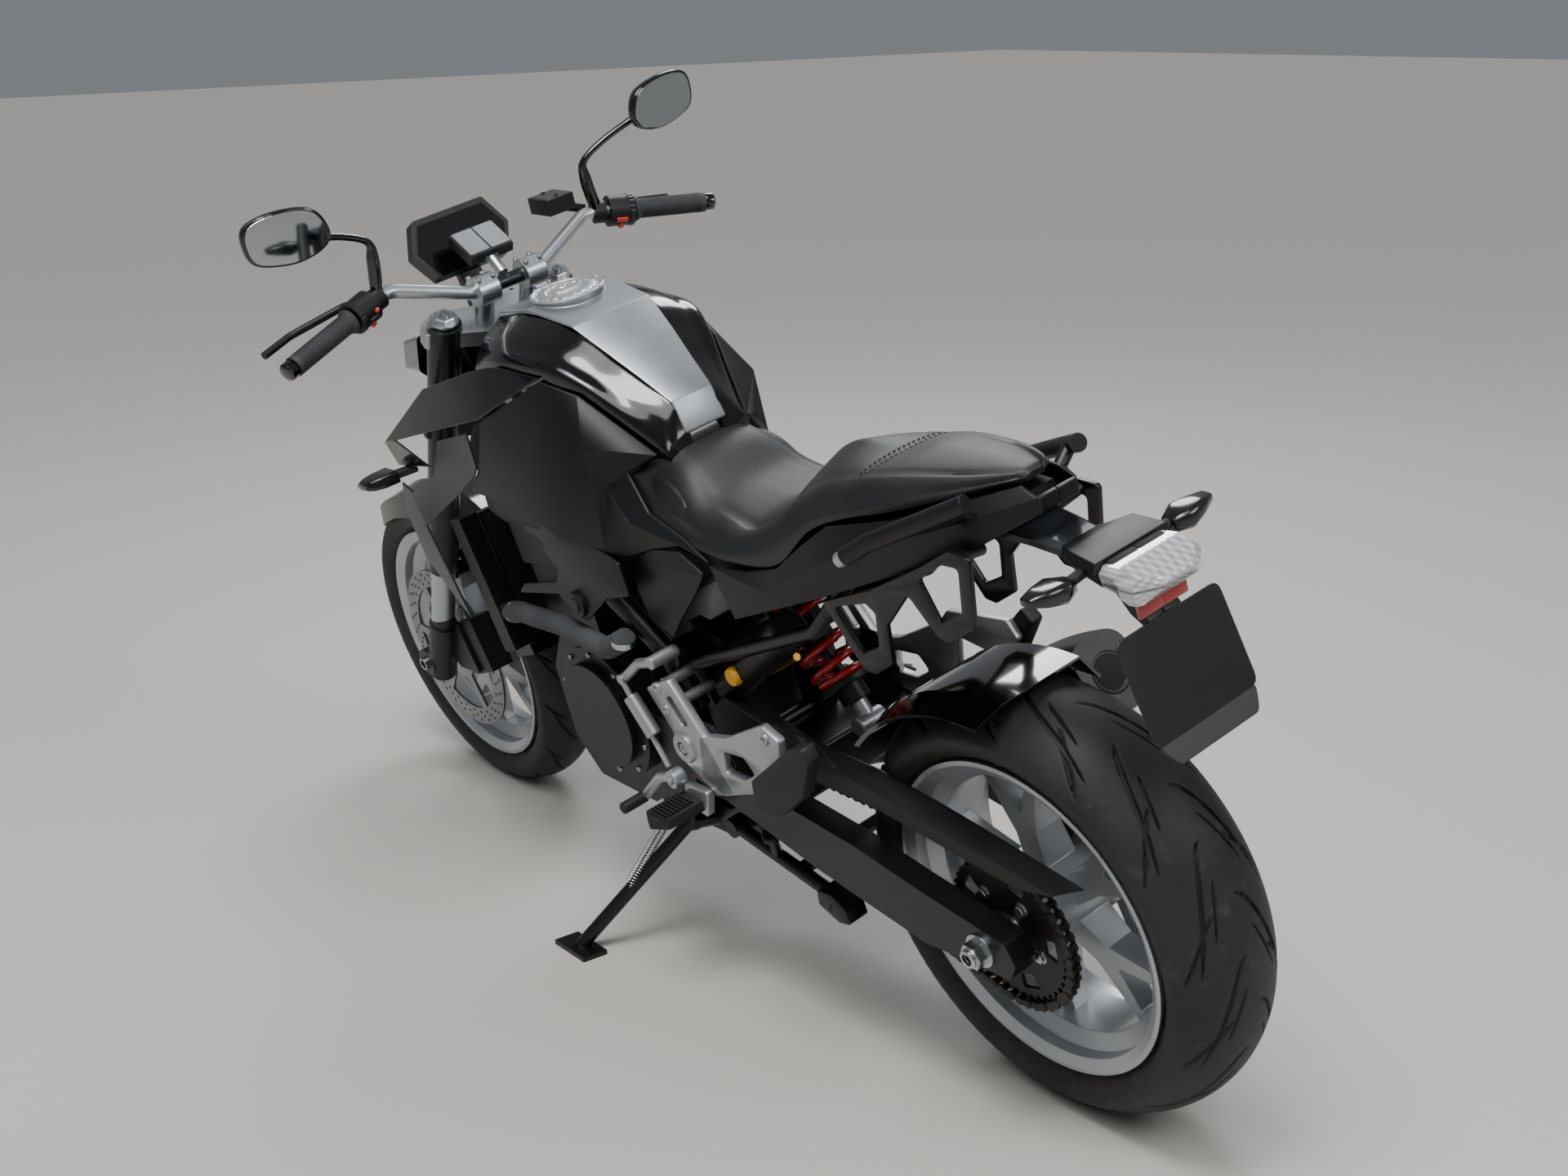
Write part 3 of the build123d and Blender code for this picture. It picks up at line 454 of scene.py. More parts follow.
def rod(start, end, radius, ease=0.8, steps=28):
    start, end = np.array(start, float), np.array(end, float)
    length = np.linalg.norm(end - start)
    profile = [(0, radius - ease), (ease, radius), (length - ease, radius), (length, radius - ease)]
    return lathe(profile, start, end - start, steps)


def crossRod(x, z, low, high, radius, ease=0.8):
    return rod((x, low, z), (x, high, z), radius, ease)


# outlines with holes, filled as a flat curve and thickened: (x, z) carried along y, or (x, y) carried along z
def slab(outline, low, high, radius=4.0, holes=(), ease=0.8, plan=False):
    curve = bpy.data.curves.new("flatOutline", "CURVE")
    curve.dimensions = "2D"
    curve.fill_mode = "BOTH"
    curve.extrude = (high - low) / 2 - ease
    curve.bevel_depth = ease
    curve.bevel_resolution = 1
    curve.offset = -ease
    for loop in (outline,) + tuple(holes):
        points = rounded(loop, radius) if radius else np.array(loop, float)
        spline = curve.splines.new("POLY")
        spline.points.add(len(points) - 1)
        flat = np.column_stack([points, np.zeros(len(points)), np.ones(len(points))])
        spline.points.foreach_set("co", flat.reshape(-1))
        spline.use_cyclic_u = True
    holder = bpy.data.objects.new("flatOutline", curve)
    shell = bmesh.new()
    shell.from_mesh(bpy.data.meshes.new_from_object(holder))
    bmesh.ops.remove_doubles(shell, verts=shell.verts, dist=0.01)
    mesh = bpy.data.meshes.new("flatOutline")
    shell.to_mesh(mesh)
    shell.free()
    bpy.data.objects.remove(holder)
    points = np.empty(len(mesh.vertices) * 3)
    mesh.vertices.foreach_get("co", points)
    points = points.reshape(-1, 3)
    faces = grouped([face.vertices[:] for face in mesh.polygons])
    x, y, height = points.T
    height = height + (low + high) / 2
    return np.stack([x, y, height] if plan else [x, height, y], 1), faces


def grouped(faces):
    sizes = sorted({len(face) for face in faces})
    return [np.array([face for face in faces if len(face) == size]) for size in sizes]


# bent sheet from named corners and the facets between them, thickened by one step
def facetShell(corners, facets, depth):
    index = {name: k for k, name in enumerate(corners)}
    outer = np.array(list(corners.values()), float)
    count = len(outer)
    loops = [[index[name] for name in facet] for facet in facets]
    sides = [(a, b) for loop in loops for a, b in zip(loop, loop[1:] + loop[:1])]
    rims = [
        [b, a, a + count, b + count] for a, b in sides if (b, a) not in sides and sides.count((a, b)) == 1
    ]
    loops = [part for loop in loops for part in halves(outer, loop)]
    back = [[k + count for k in reversed(loop)] for loop in loops]
    return np.concatenate([outer, outer + np.array(depth, float)]), grouped(loops + back + rims)


# a four-cornered facet is split across its shorter diagonal, so that both faces of a sheet fold alike
def halves(corners, loop):
    if len(loop) != 4:
        return [loop]
    a, b, c, d = loop
    if np.linalg.norm(corners[a] - corners[c]) <= np.linalg.norm(corners[b] - corners[d]):
        return [[a, b, c], [a, c, d]]
    return [[a, b, d], [b, c, d]]


# cross section at one x: half an outline of (y, z), the other half mirrored
def ringAt(x, half):
    half = np.array(half, float)
    both = np.concatenate([half, half[::-1] * (-1, 1)])
    return np.column_stack([np.full(len(both), float(x)), both])


# several parts become one mesh object with a finish, riding on a body; their points are upright millimetres
def piece(name, parts, finish, body="chassis", smooth=38.0, masks=None, node=None, bevel=0.0):
    corners = []
    faces = []
    count = 0
    for points, faceSets in parts:
        for faceSet in faceSets:
            faces += (np.asarray(faceSet) + count).tolist()
        corners.append(settle(points))
        count += len(points)
    mesh = bpy.data.meshes.new(name)
    mesh.from_pydata(np.concatenate(corners), [], faces)
    for mask, values in (masks or {}).items():
        attribute = mesh.attributes.new(mask, "FLOAT", "POINT")
        attribute.data.foreach_set("value", np.asarray(values, np.float32))
    shell = bmesh.new()
    shell.from_mesh(mesh)
    bmesh.ops.recalc_face_normals(shell, faces=shell.faces)
    shell.to_mesh(mesh)
    shell.free()
    mesh.polygons.foreach_set("use_smooth", [True] * len(mesh.polygons))
    mesh.set_sharp_from_angle(angle=math.radians(smooth))
    mesh.materials.append(finishes[finish] if isinstance(finish, str) else finish)
    made = bpy.data.objects.new(name, mesh)
    bpy.context.scene.collection.objects.link(made)
    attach(made, body)
    if node:
        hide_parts(node)
    if bevel:
        rounding = made.modifiers.new("rounding", "BEVEL")
        rounding.width = bevel
        rounding.segments = 2
        rounding.limit_method = "ANGLE"
        rounding.angle_limit = math.radians(33)
    return made


def bothSides(parts):
    mirrored = [(points * (1.0, -1.0, 1.0), faces) for points, faces in parts]
    return list(parts) + mirrored


# a vector and its opposite: the one that points up
def upward(vector):
    return vector if vector[2] > 0 else -vector


# count places round a centre (x, z) in the wheel's plane at y; the first is turned by a share of the spacing
def ringOfPlaces(centre, y, radius, count, first=0.0):
    turn = 2 * np.pi * (np.arange(count) + first) / count
    x, z = centre[0] + radius * np.sin(turn), centre[1] + radius * np.cos(turn)
    return np.stack([x, np.full(count, y), z], 1)


# turned screw head with a round hollow for its key
def socketBolt(place, axis, radius):
    head = [(0, 1), (0.75, 1), (0.95, 0.88), (0.95, 0.5), (0.4, 0.48)]
    return lathe(np.array(head) * radius, place, axis, 18)


# six-sided head on a round washer
def hexBolt(place, axis, radius):
    washer = np.array([(0, 1.25), (0.12, 1.25), (0.14, 1)])
    head = np.array([(0.1, 1), (0.7, 1), (0.82, 0.86)])
    return [lathe(washer * radius, place, axis, 24), lathe(head * radius, place, axis, 6)]


# tyre skin: (across, radius) round the outside from bead to bead
def tyreProfile(tyre):
    half, drop, radius = tyre["half"], tyre["drop"], tyre["radius"]
    crown = (half * half + drop * drop) / (2 * drop)
    swing = math.asin(half / crown)
    angle = np.linspace(-swing, swing, tyre["treadRows"])
    tread = np.stack([crown * np.sin(angle), radius - crown + crown * np.cos(angle)], 1)
    lip = tyre["bead"] + tyreDetail["lipHeight"]
    bulge = (half + tyreDetail["flankBulge"], (radius - drop + lip) / 2)
    low, middle, high = (np.array(p) for p in ((tyre["beadHalf"], lip), bulge, (half, radius - drop)))
    t = np.linspace(0, 1, tyre["flankRows"])[:-1, None]
    flank = (1 - t) ** 2 * low + 2 * t * (1 - t) * middle + t ** 2 * high
    flank = np.concatenate([[(tyre["beadHalf"], tyre["bead"])], flank])
    return np.concatenate([flank * (-1, 1), tread, flank[::-1]])


# tread: slanted grooves cut by moving the skin inwards where it is near a groove's curved middle line
def buildTyre(name, node, body, hub, tyre):
    profile = tyreProfile(tyre)
    across, radius = profile.T
    share = across[:, None] / tyre["half"]
    first, last, sweep, curl = tyre["lay"]  # the grid's columns lean with the main grooves
    lean = np.clip((np.abs(share) - first) / (last - first), 0, 1) ** curl
    angle = turns(tyreDetail["turnSteps"])[None] + sweep * lean
    depth = np.zeros((len(profile), tyreDetail["turnSteps"]))
    pitch = 2 * np.pi / tyre["grooveCount"]
    for direction, shift in ((1, 0.0), (-1, 0.5)):
        side = share * direction
        for low, high, start, sweep, curl, width in tyre["grooves"]:
            where = np.clip((side - low) / (high - low), 0, 1)
            middle = (start + shift) * pitch + sweep * where ** curl
            gap = (angle - middle + pitch / 2) % pitch - pitch / 2
            slope = sweep * curl * np.maximum(where, 0.05) ** (curl - 1) / (high - low)
            slant = slope * tyre["radius"] / tyre["half"]
            distance = np.abs(gap) * tyre["radius"] / np.sqrt(1 + slant ** 2)
            room = np.clip(4 * np.minimum(side - low, high - side) / (high - low), 0, 1) ** 0.5
            depth = np.maximum(depth, np.clip((width * room - distance) / tyreDetail["grooveWall"], 0, 1))
    onFlank = (np.abs(across) > tyre["half"] * 0.985) & (radius > tyre["bead"] + tyreDetail["smoothBead"])
    ribs = (np.sin(angle * tyreDetail["ribCount"]) > 0.2) * onFlank[:, None]
    skin = radius[:, None] - tyre["grooveDepth"] * depth - tyreDetail["ribHeight"] * ribs
    narrowed = across[:, None] * (1 - 0.012 * depth)
    points = np.stack([hub[0] + skin * np.sin(angle), narrowed, hub[1] + skin * np.cos(angle)], -1)
    # the groove depth is kept as a mask, which the rubber uses to paint shade into the grooves
    masks = {"groove": depth.reshape(-1)}
    piece(name, [gridOf(points, True)], tyreFinish, body, 60.0, masks, node)


# worn rubber: dusty and scuffed on the crown, with painted shade darkening the grooves
def buildTyreFinish(look):
    finish = Finish("tyreRubber")
    dust = finish.noise(38.0, 6.0, 0.7)
    patches = finish.noise(9.0, 4.0)
    tone = finish.mix(patches.step(0.3, 0.7), look["colour"], look["second"])
    tone = finish.mix(dust.step(0.52, 0.78) * look["dustShare"], tone, look["dust"])
    # painted shade: the grooves are darkened almost to black
    tone = finish.mix(finish.mask("groove") * 0.85, tone, look["grooveShadeTone"])
    finish.set("Base Color", tone)
    finish.set("Roughness", look["roughness"] + (dust - 0.5) * 0.25)
    finish.set("Specular IOR Level", 0.4)
    finish.bump(finish.noise(520.0, 3.0), 0.0003, 0.5)
    return finish.material


tyreFinish = buildTyreFinish(dict(
    colour="#191817", second="#232120", dust="#47413a", dustShare=0.5, grooveShadeTone="#050505", roughness=0.6,
))
tyreDetail = {
    "lipHeight": 15.0, "flankBulge": 5, "turnSteps": 760, "grooveWall": 1.4, "smoothBead": 24, "ribCount": 90,
    "ribHeight": 0.5,
}
# each groove of one shoulder: from and to in shares of the half width, start in pitches, sweep, curl, width
rearTyre = {
    "radius": stance["rearRadius"], "half": 90.0, "drop": 45.0, "bead": 218.0, "beadHalf": 70.0,
    "treadRows": 96, "flankRows": 12, "grooveCount": 13, "grooveDepth": 4.5, "lay": (0.06, 0.74, -0.52, 1.7),
    "grooves": [
        (0.06, 0.74, 0.0, -0.52, 1.7, 3.6), (0.38, 0.93, 0.42, -0.26, 1.4, 3.0),
        (0.16, 0.46, 0.7, -0.24, 1.2, 2.4),
    ],
}
frontTyre = {
    "radius": stance["frontRadius"], "half": 60.0, "drop": 30.0, "bead": 218.0, "beadHalf": 45.0,
    "treadRows": 72, "flankRows": 10, "grooveCount": 15, "grooveDepth": 4.0, "lay": (0.08, 0.8, 0.3, 1.5),
    "grooves": [(0.08, 0.8, 0.0, 0.3, 1.5, 2.8), (0.42, 0.94, 0.5, 0.14, 1.3, 2.3)],
}
rearHubPlace = (0.0, stance["rearRadius"])
frontHubPlace = (stance["wheelbase"], stance["frontRadius"])
buildTyre("rearTyre", "rear_tyre", "rear_wheel", rearHubPlace, rearTyre)
buildTyre("frontTyre", "front_tyre", "front_wheel", frontHubPlace, frontTyre)
print("tyres made")

# tank skin: stations along the machine, each with the panel's edge, the bulge, the crease and the underside
# as (y, z)
tank = {
    "stations": [
        (592, (36, 883), (55, 879), (74, 868), (62, 842)),
        (611, (36, 926), (58, 908), (77, 878), (66, 842)),
        (660, (46, 958), (77, 943), (98, 921), (82, 845)),
        (708, (57, 990), (93, 979), (120, 964), (96, 850)),
        (772, (70, 1029), (112, 1013), (141, 985), (112, 862)),
        (884, (76, 1043), (122, 1018), (147, 975), (122, 875)),
        (985, (68, 1026), (112, 996), (136, 950), (112, 885)),
    ],
    "rows": 8,
    "columns": 9,
    "lip": (7, 0.6),  # in and down from the panel's edge
    "under": 28.0,  # how far the skin dips beneath the centre panel
    "noseCut": [(940, 780), (975, 921), (1050, 1001)],
}


# both ways the skin is a smooth curve through the stations' points; beneath the centre panel it steps down
def buildTank():
    rows = curveThrough([np.hstack(station) for station in tank["stations"]], tank["rows"])
    x = rows[:, 0]
    corners = rows[:, 1:].reshape(len(rows), 4, 2)
    cutX, cutZ = np.array(tank["noseCut"], float).T
    corners[:, 3, 1] = np.maximum(corners[:, 3, 1], np.interp(x, cutX, cutZ))
    side = curveThrough(np.moveaxis(corners, 1, 0).reshape(4, -1), tank["columns"])
    side = np.moveaxis(side.reshape(-1, len(rows), 2), 0, 1)
    inner = corners[:, :1] - tank["lip"]
    low = inner - (1, tank["under"])
    half = np.concatenate([low * (0, 1), low, inner, side, corners[:, 3:] * (0, 1)], 1)
    piece("tankSkin", [skinOf(x, half)], "flakeBlack", smooth=50.0, node="fuel_tank")


buildTank()

# dark inner body that closes the gaps behind the covers: x, half width, low and high z
tray = {
    "stations": [
        (1075, 120, 730, 838), (1040, 150, 700, 862), (905, 168, 720, 892), (800, 160, 720, 868),
        (740, 140, 730, 868), (660, 112, 735, 838), (600, 110, 738, 790), (500, 118, 738, 768),
        (400, 118, 735, 762), (330, 116, 738, 770), (240, 104, 760, 812), (120, 88, 812, 868),
        (20, 68, 850, 896), (-70, 34, 890, 915),
    ],
    "rows": 4,
    "corners": [(0.9, 1.0), (1, 0.85), (1, 0.15), (0.9, 0.0)],  # shares of the half width and of the height
}


# rounded box section carried along the stations
def buildTray():
    x, half, low, high = curveThrough(tray["stations"], tray["rows"]).T[..., None]
    across, up = np.array(tray["corners"]).T
    section = np.stack([half * across, low + (high - low) * up], -1)
    piece("innerTray", [skinOf(x[:, 0], section, False)], "rubberBlack")


buildTray()

# thin bent covers: each is a left half of named corners (x, y, z) and the flat facets between them;
# all but the chain guard are mirrored
covers = {
    "tankWings": {
        "finish": "flakeBlack", "slot": "gloss_black_paint", "node": "tank_shrouds", "depth": (0, -4, -1),
        "corners": {
            "a": (772, 147, 986), "b": (905, 192, 917), "d": (1201, 200, 835), "n": (1248, 198, 823),
            "t": (1112, 168, 926), "u": (955, 162, 975), "v": (884, 157, 992), "p": (1226, 195, 784),
            "q": (1097, 202, 808),
        }, "facets": "abuv bdtu dnt dqpn",
    },
    "sideCovers": {
        "finish": "matteBlack", "slot": "matte_black_plastic", "node": "side_panels", "depth": (0, -4, 0),
        "corners": {
            "A": (772, 147, 980), "B": (905, 190, 912), "C": (955, 188, 828), "D": (800, 183, 868),
            "E": (676, 158, 896), "F": (648, 114, 846), "G": (607, 84, 868), "H": (708, 128, 960),
            "I": (1020, 181, 772), "J": (852, 187, 777), "K": (678, 163, 734), "L": (648, 150, 727),
            "M": (763, 185, 744), "N": (672, 140, 834), "O": (682, 138, 811), "P": (629, 142, 784),
            "R": (582, 142, 752), "S": (515, 140, 771), "T": (600, 124, 797), "U": (512, 132, 780),
            "V": (457, 136, 756),
        }, "facets": "ABCD ADEH HEFG CIJD DJM DMKE EKLN ENF ONLP LRP RSP OPTFN PSUT SVU",
    },
    "radiatorCovers": {
        "finish": "panelGrey", "slot": "grey_plastic", "node": "radiator_panels", "depth": (0, -4, 0),
        "corners": {
            "a": (1060, 194, 856), "b": (950, 196, 888), "c": (960, 190, 828), "d": (970, 192, 813),
            "e": (1035, 190, 772), "f": (1194, 187, 682), "g": (1200, 198, 742), "h": (1105, 197, 790),
            "i": (1234, 196, 752), "j": (1264, 190, 692), "k": (1204, 190, 675), "l": (1262, 182, 600),
            "m": (1155, 183, 511),
        }, "facets": "abch cdeh hefg gfki kji kmlj",
    },
    "tailCovers": {
        "finish": "matteBlack", "slot": "matte_black_plastic", "node": "tail_panels", "depth": (0, -4, 0),
        "corners": {
            "a": (455, 136, 752), "b": (380, 132, 758), "c": (302, 133, 782), "d": (240, 129, 828),
            "e": (190, 121, 862), "f": (83, 101, 884), "g": (-7, 73, 913), "h": (-82, 34, 934),
            "i": (330, 140, 742), "j": (215, 138, 808), "k": (83, 120, 860), "l": (-30, 90, 900),
            "m": (-106, 34, 924), "n": (432, 130, 672), "o": (247, 120, 744), "p": (27, 99, 836),
            "q": (-56, 80, 874), "r": (-110, 32, 904),
        }, "facets": "anoi iba icb idc ijd jed jkfe klgf lmhg ioj jopk kpql lqrm",
    },
    "chainGuard": {
        "finish": "matteBlack", "slot": "matte_black_plastic", "node": None, "depth": (0, -4, -1.5),
        "corners": {
            "a": (588, 114, 470), "b": (540, 115, 508), "c": (412, 126, 498), "d": (332, 126, 489),
            "e": (268, 126, 478), "f": (127, 126, 459), "g": (2, 126, 443), "h": (-118, 126, 427),
            "i": (449, 98, 504), "j": (367, 97, 482), "k": (217, 99, 484), "l": (99, 92, 463),
            "m": (-17, 90, 444), "n": (-138, 90, 424), "o": (560, 126, 446), "p": (450, 126, 440),
            "q": (330, 126, 438), "r": (199, 126, 440), "s": (49, 126, 424), "t": (-57, 126, 413),
        }, "facets": "boa bcpo cdqp derq efsr fgts ght bic ijdc jked klfe lmgf mnhg",
    },
}
# flat covers bolted over the side covers and the end of the tail's, outlines in (x, z), and the bolt's cap
overlays = {
    "front": [
        (838, 790), (857, 699), (828, 673), (847, 648), (954, 619), (981, 597), (849, 627), (832, 605),
        (781, 597), (704, 654), (636, 675), (644, 726), (678, 734), (752, 752),
    ],
    "rear": [
        (655, 668), (640, 628), (590, 606), (562, 638), (497, 703), (466, 738), (520, 762), (585, 750),
        (650, 720),
    ],
    "plates": [("front", 164, 169, 7), ("rear", 137, 142, 8)],  # outline, inner and outer y, corner radius
    "tailEnd": [(-110, 904), (-102, 904), (-102, 924), (-110, 924)],
    "cap": [(0, 21), (6.5, 21), (8, 19), (8, 12), (10.4, 12), (11, 11)], "capPlace": (791, 169, 625),
}


def buildCovers():
    for name, cover in covers.items():
        parts = [facetShell(cover["corners"], cover["facets"].split(), cover["depth"])]
        if name != "chainGuard":
            parts = bothSides(parts)
        if name == "tailCovers":
            parts += bothSides([slab(overlays["tailEnd"], 0.5, 31, 2)])
        piece(name, parts, cover["finish"], smooth=30.0, node=cover["node"], bevel=0.0012)
    parts = [slab(overlays[name], low, high, radius) for name, low, high, radius in overlays["plates"]]
    parts.append(lathe(overlays["cap"], overlays["capPlace"], (0, 1, 0), 36))
    piece(
        "coverPlates", bothSides(parts), "matteBlack", smooth=30.0, node="side_panels",
    )


buildCovers()

# silver panel along the tank's top, (x, height, half width), with the lid's hinge and the filler's ring
topPanel = {
    "stations": [
        (592, 884, 36), (611, 927, 36), (660, 960, 46), (708, 992, 57), (772, 1032, 70), (884, 1047, 76),
        (985, 1030, 68),
    ],
    "narrowing": (3.0, 0.0, 0.4, 2.6),
    "rise": (0.4, 2.0, 3.4, 4.6),
    "ear": [(944, 1034), (961, 1034), (961, 1060), (949, 1060)],
    "filler": (884, 0, 1036),
    "ring": [(0, 56.5), (16, 56.5), (16.8, 55.6), (16.8, 39), (14, 38.4), (0, 38.4)],
    "mouth": [(0.4, 38.6), (15.0, 38.6), (15.8, 37.5)],
}


def buildTopPanel():
    x, top, half = rounded(topPanel["stations"], 9.0, False, 4).T[..., None]
    section = np.stack([half - topPanel["narrowing"], top + topPanel["rise"]], -1)
    parts = [skinOf(x[:, 0], section, False)] + bothSides([slab(topPanel["ear"], 10, 14, 2)])
    parts.append(lathe(topPanel["ring"], topPanel["filler"], (0, 0, 1), 72, closed=True))
    piece("tankTopPanel", parts, "silverPaint", smooth=25.0, node="tank_centre_panel")
    # the filler's mouth is lined in near black, painted shade inside the ring
    mouth = lathe(topPanel["mouth"], topPanel["filler"], (0, 0, 1), 48)
    piece("fillerMouth", [mouth], "holeShadeBlack")


buildTopPanel()
print("tank and covers made")

# seat cover: stations along the machine, each with a half outline from the middle line down to the hem
seat = {
    "stations": [  # x, top middle z, then stitched edge, flank and hem as (y, z), and the underside z
        (650, 841, (90, 843), (107, 841), (108, 818), 814),
        (612, 868, (61, 866), (99, 828), (117, 796), 838),
        (560, 858, (64, 853), (108, 808), (124, 787), 830),
        (503, 822, (74, 816), (116, 790), (130, 772), 792),
        (450, 811, (78, 804), (118, 784), (130, 766), 776),
        (400, 812, (82, 799), (120, 785), (128, 766), 772),
        (340, 850, (80, 830), (122, 800), (128, 774), 778),
        (290, 900, (78, 868), (120, 826), (128, 794), 802),
        (227, 927, (78, 903), (114, 868), (120, 848), 852),
        (160, 924, (72, 919), (104, 892), (112, 876), 880),
        (90, 940, (66, 932), (92, 908), (95, 892), 896),
        (0, 948, (48, 940), (64, 926), (66, 917), 916),
        (-60, 946, (24, 942), (34, 938), (35, 933), 929),
        (-76, 941, (12, 940), (17, 938), (17, 935), 932),
    ],
    "rows": 9,  # between stations
    "columns": 8,  # between outline corners
    "crown": (1.5, 4.5, 3.0),  # how far the top, the upper flank and the lower flank swell
    "seamDip": 2.4,
    "seamWidth": 0.7,
    "crossSeam": 161.0,
    "crossWidth": 5.0,
    "endRows": 6,  # over which the swelling fades at each end
    "stitch": {
        "length": 5.0, "gap": 3.4, "width": 1.0, "height": 0.7, "apart": 8.0, "innerSpan": 70,
        "innerLift": 1.4, "crossLift": 0.8,
    },
}


# small flat bars set along a path at even spacing, lying on the surface whose normals are given
def dashes(path, normals, stitch):
    lengths = np.concatenate([[0], np.cumsum(np.linalg.norm(np.diff(path, axis=0), axis=1))])
    centres = np.arange(stitch["length"], lengths[-1] - stitch["length"], stitch["length"] + stitch["gap"])

    def sample(values, at):
        return np.stack([np.interp(at, lengths, values[:, k]) for k in range(3)], 1)

    middle = sample(path, centres)
    way = unit(sample(path, centres + 1) - sample(path, centres - 1))
    up = unit(sample(normals, centres))
    side = np.cross(way, up)
    signs = np.array([(a, b, c) for c in (-1, 1) for b in (-1, 1) for a in (-1, 1)], float)
    shrink = np.where(signs[:, 2:] > 0, 0.7, 1.0)
    size = np.array((stitch["length"] / 2, stitch["width"] / 2, stitch["height"]))
    offset = signs * size * np.concatenate([shrink, shrink, np.ones_like(shrink)], 1)
    axes = np.stack([way, side, up], 1)
    corners = middle[:, None] + np.einsum("ck,nkd->ncd", offset, axes)
    faces = np.array([(0, 2, 3, 1), (4, 5, 7, 6), (0, 1, 5, 4), (2, 6, 7, 3), (0, 4, 6, 2), (1, 3, 7, 5)])
    return corners.reshape(-1, 3), [(faces[None] + 8 * np.arange(len(centres))[:, None, None]).reshape(-1, 4)]


# rows follow a smooth curve through the stations; outline runs swell outwards between their corners,
# and the surface dips along the stitched edge and across the cross seam
def buildSeat():
    columns = seat["columns"]
    table = []
    for x, top, edge, flank, hem, low in seat["stations"]:
        table.append([x, 0, top, *edge, *flank, *hem, 0.8 * hem[0], low, 0, low])
    rows = curveThrough(table, seat["rows"])
    x = rows[:, 0]
    corners = rows[:, 1:].reshape(len(rows), -1, 2)
    share = np.arange(columns)[:, None] / columns
    runs = [corners[:, k, None] * (1 - share) + corners[:, k + 1, None] * share for k in range(5)]
    half = np.concatenate(runs + [corners[:, 5:]], 1)
    kind = np.append(np.repeat(np.arange(5), columns), 5)
    crown = np.array(seat["crown"] + (0.0, 0.0, 0.0))[kind]
    swell = crown * np.sin(np.pi * np.append(np.tile(share[:, 0], 5), 0.0))
    slope = np.gradient(half, axis=1)
    normal = unit(np.stack([-slope[..., 1], slope[..., 0]], -1))
    row = np.arange(len(x))
    ends = np.clip(np.minimum(row, row[::-1]) / seat["endRows"], 0, 1)[:, None]
    seam = np.exp(-((np.arange(len(kind)) - columns) / seat["seamWidth"]) ** 2)[None]
    cross = np.exp(-((x - seat["crossSeam"]) / seat["crossWidth"]) ** 2)[:, None] * (kind < 2)
    height = swell[None] * ends - seat["seamDip"] * np.maximum(seam, cross)
    half = half + normal * height[..., None]
    half[:, 0, 0] = 0
    cover = piece("seatCover", [skinOf(x, half)], seatFinish, smooth=50.0, node="seat")
    surface = np.concatenate([x[:, None, None] + 0 * half[..., :1], half], -1)
    outward = np.concatenate([0 * half[..., :1], normal], -1)
    stitch = seat["stitch"]
    span = np.linalg.norm(corners[:, 1] - corners[:, 2], axis=1)[:, None]
    edge = surface[:, columns]
    inner = edge + (surface[:, 0] - edge) * stitch["apart"] / stitch["innerSpan"]
    outer = edge + (surface[:, 2 * columns] - edge) * stitch["apart"] / span
    inner[:, 2] += stitch["innerLift"]
    used = slice(6, len(x) - 14)
    lines = []
    for path, up in ((inner, outward[:, columns - 2]), (outer, outward[:, columns + 3])):
        lines += bothSides([dashes(path[used], up[used], stitch)])
    seamRow = int(np.argmin(np.abs(x - seat["crossSeam"])))
    for row in (surface[seamRow - 1, :columns + 1], surface[seamRow + 1, :columns + 1]):
        whole = np.concatenate([row[::-1] * (1, -1, 1), row[1:]]) + (0, 0, stitch["crossLift"])
        lines.append(dashes(whole, np.tile((0.0, 0.0, 1.0), (len(whole), 1)), stitch))
    piece("seatStitches", lines, "stitchThread")


# grained leather cloth: cells of a fine grain and shallow creases
def buildSeatFinish(look):
    finish = Finish("seatLeather")
    patches = finish.noise(7.0, 4.0)
    creases = finish.noise(60.0, 5.0, 0.6)
    finish.set("Base Color", finish.mix(patches.step(0.35, 0.65), look["colour"], look["second"]))
    finish.set("Roughness", look["roughness"] + (patches - 0.5) * 0.18)
    finish.set("Specular IOR Level", 0.5)
    finish.bump(finish.cells(look["grainScale"]).clamped() * 0.7 + creases * 0.6, look["depth"], 0.55)
    return finish.material


seatFinish = buildSeatFinish(
    dict(colour="#141516", second="#1b1c1e", roughness=0.46, grainScale=620.0, depth=0.0009)
)
finishes["stitchThread"] = painted(
    "stitchThread", dict(colour="#3b3d40", second="#47494c", roughness=0.7, grain=0.3),
)
buildSeat()
print("seat made")


# clear lens with fine ridges and a dark seam
def buildLensFinish():
    finish = Finish("tailLens")
    aside, up = finish.uprightPlace()[1:]
    ridges = (aside * 0.9).sine() * 0.5 + 0.5
    facets = (up * 0.8).sine() * (aside * 0.5).sine() * 0.5 + 0.5
    tone = finish.mix(facets, "#dadde0", "#a9adb1")
    tone = finish.mix(ridges * 0.4, tone, "#b3b7ba")
    band = (up > 848.0) * (up < 851.5)
    finish.set("Base Color", finish.mix(band * 0.8, tone, "#4a4c4f"))
    finish.set("Roughness", facets * 0.1 + 0.12)
    finish.set("Metallic", facets * 0.3 + 0.2)
    finish.set("Coat Weight", 1.0)
    finish.bump(ridges * 0.3 + facets * 0.7, 0.0012, 0.5)
    return finish.material


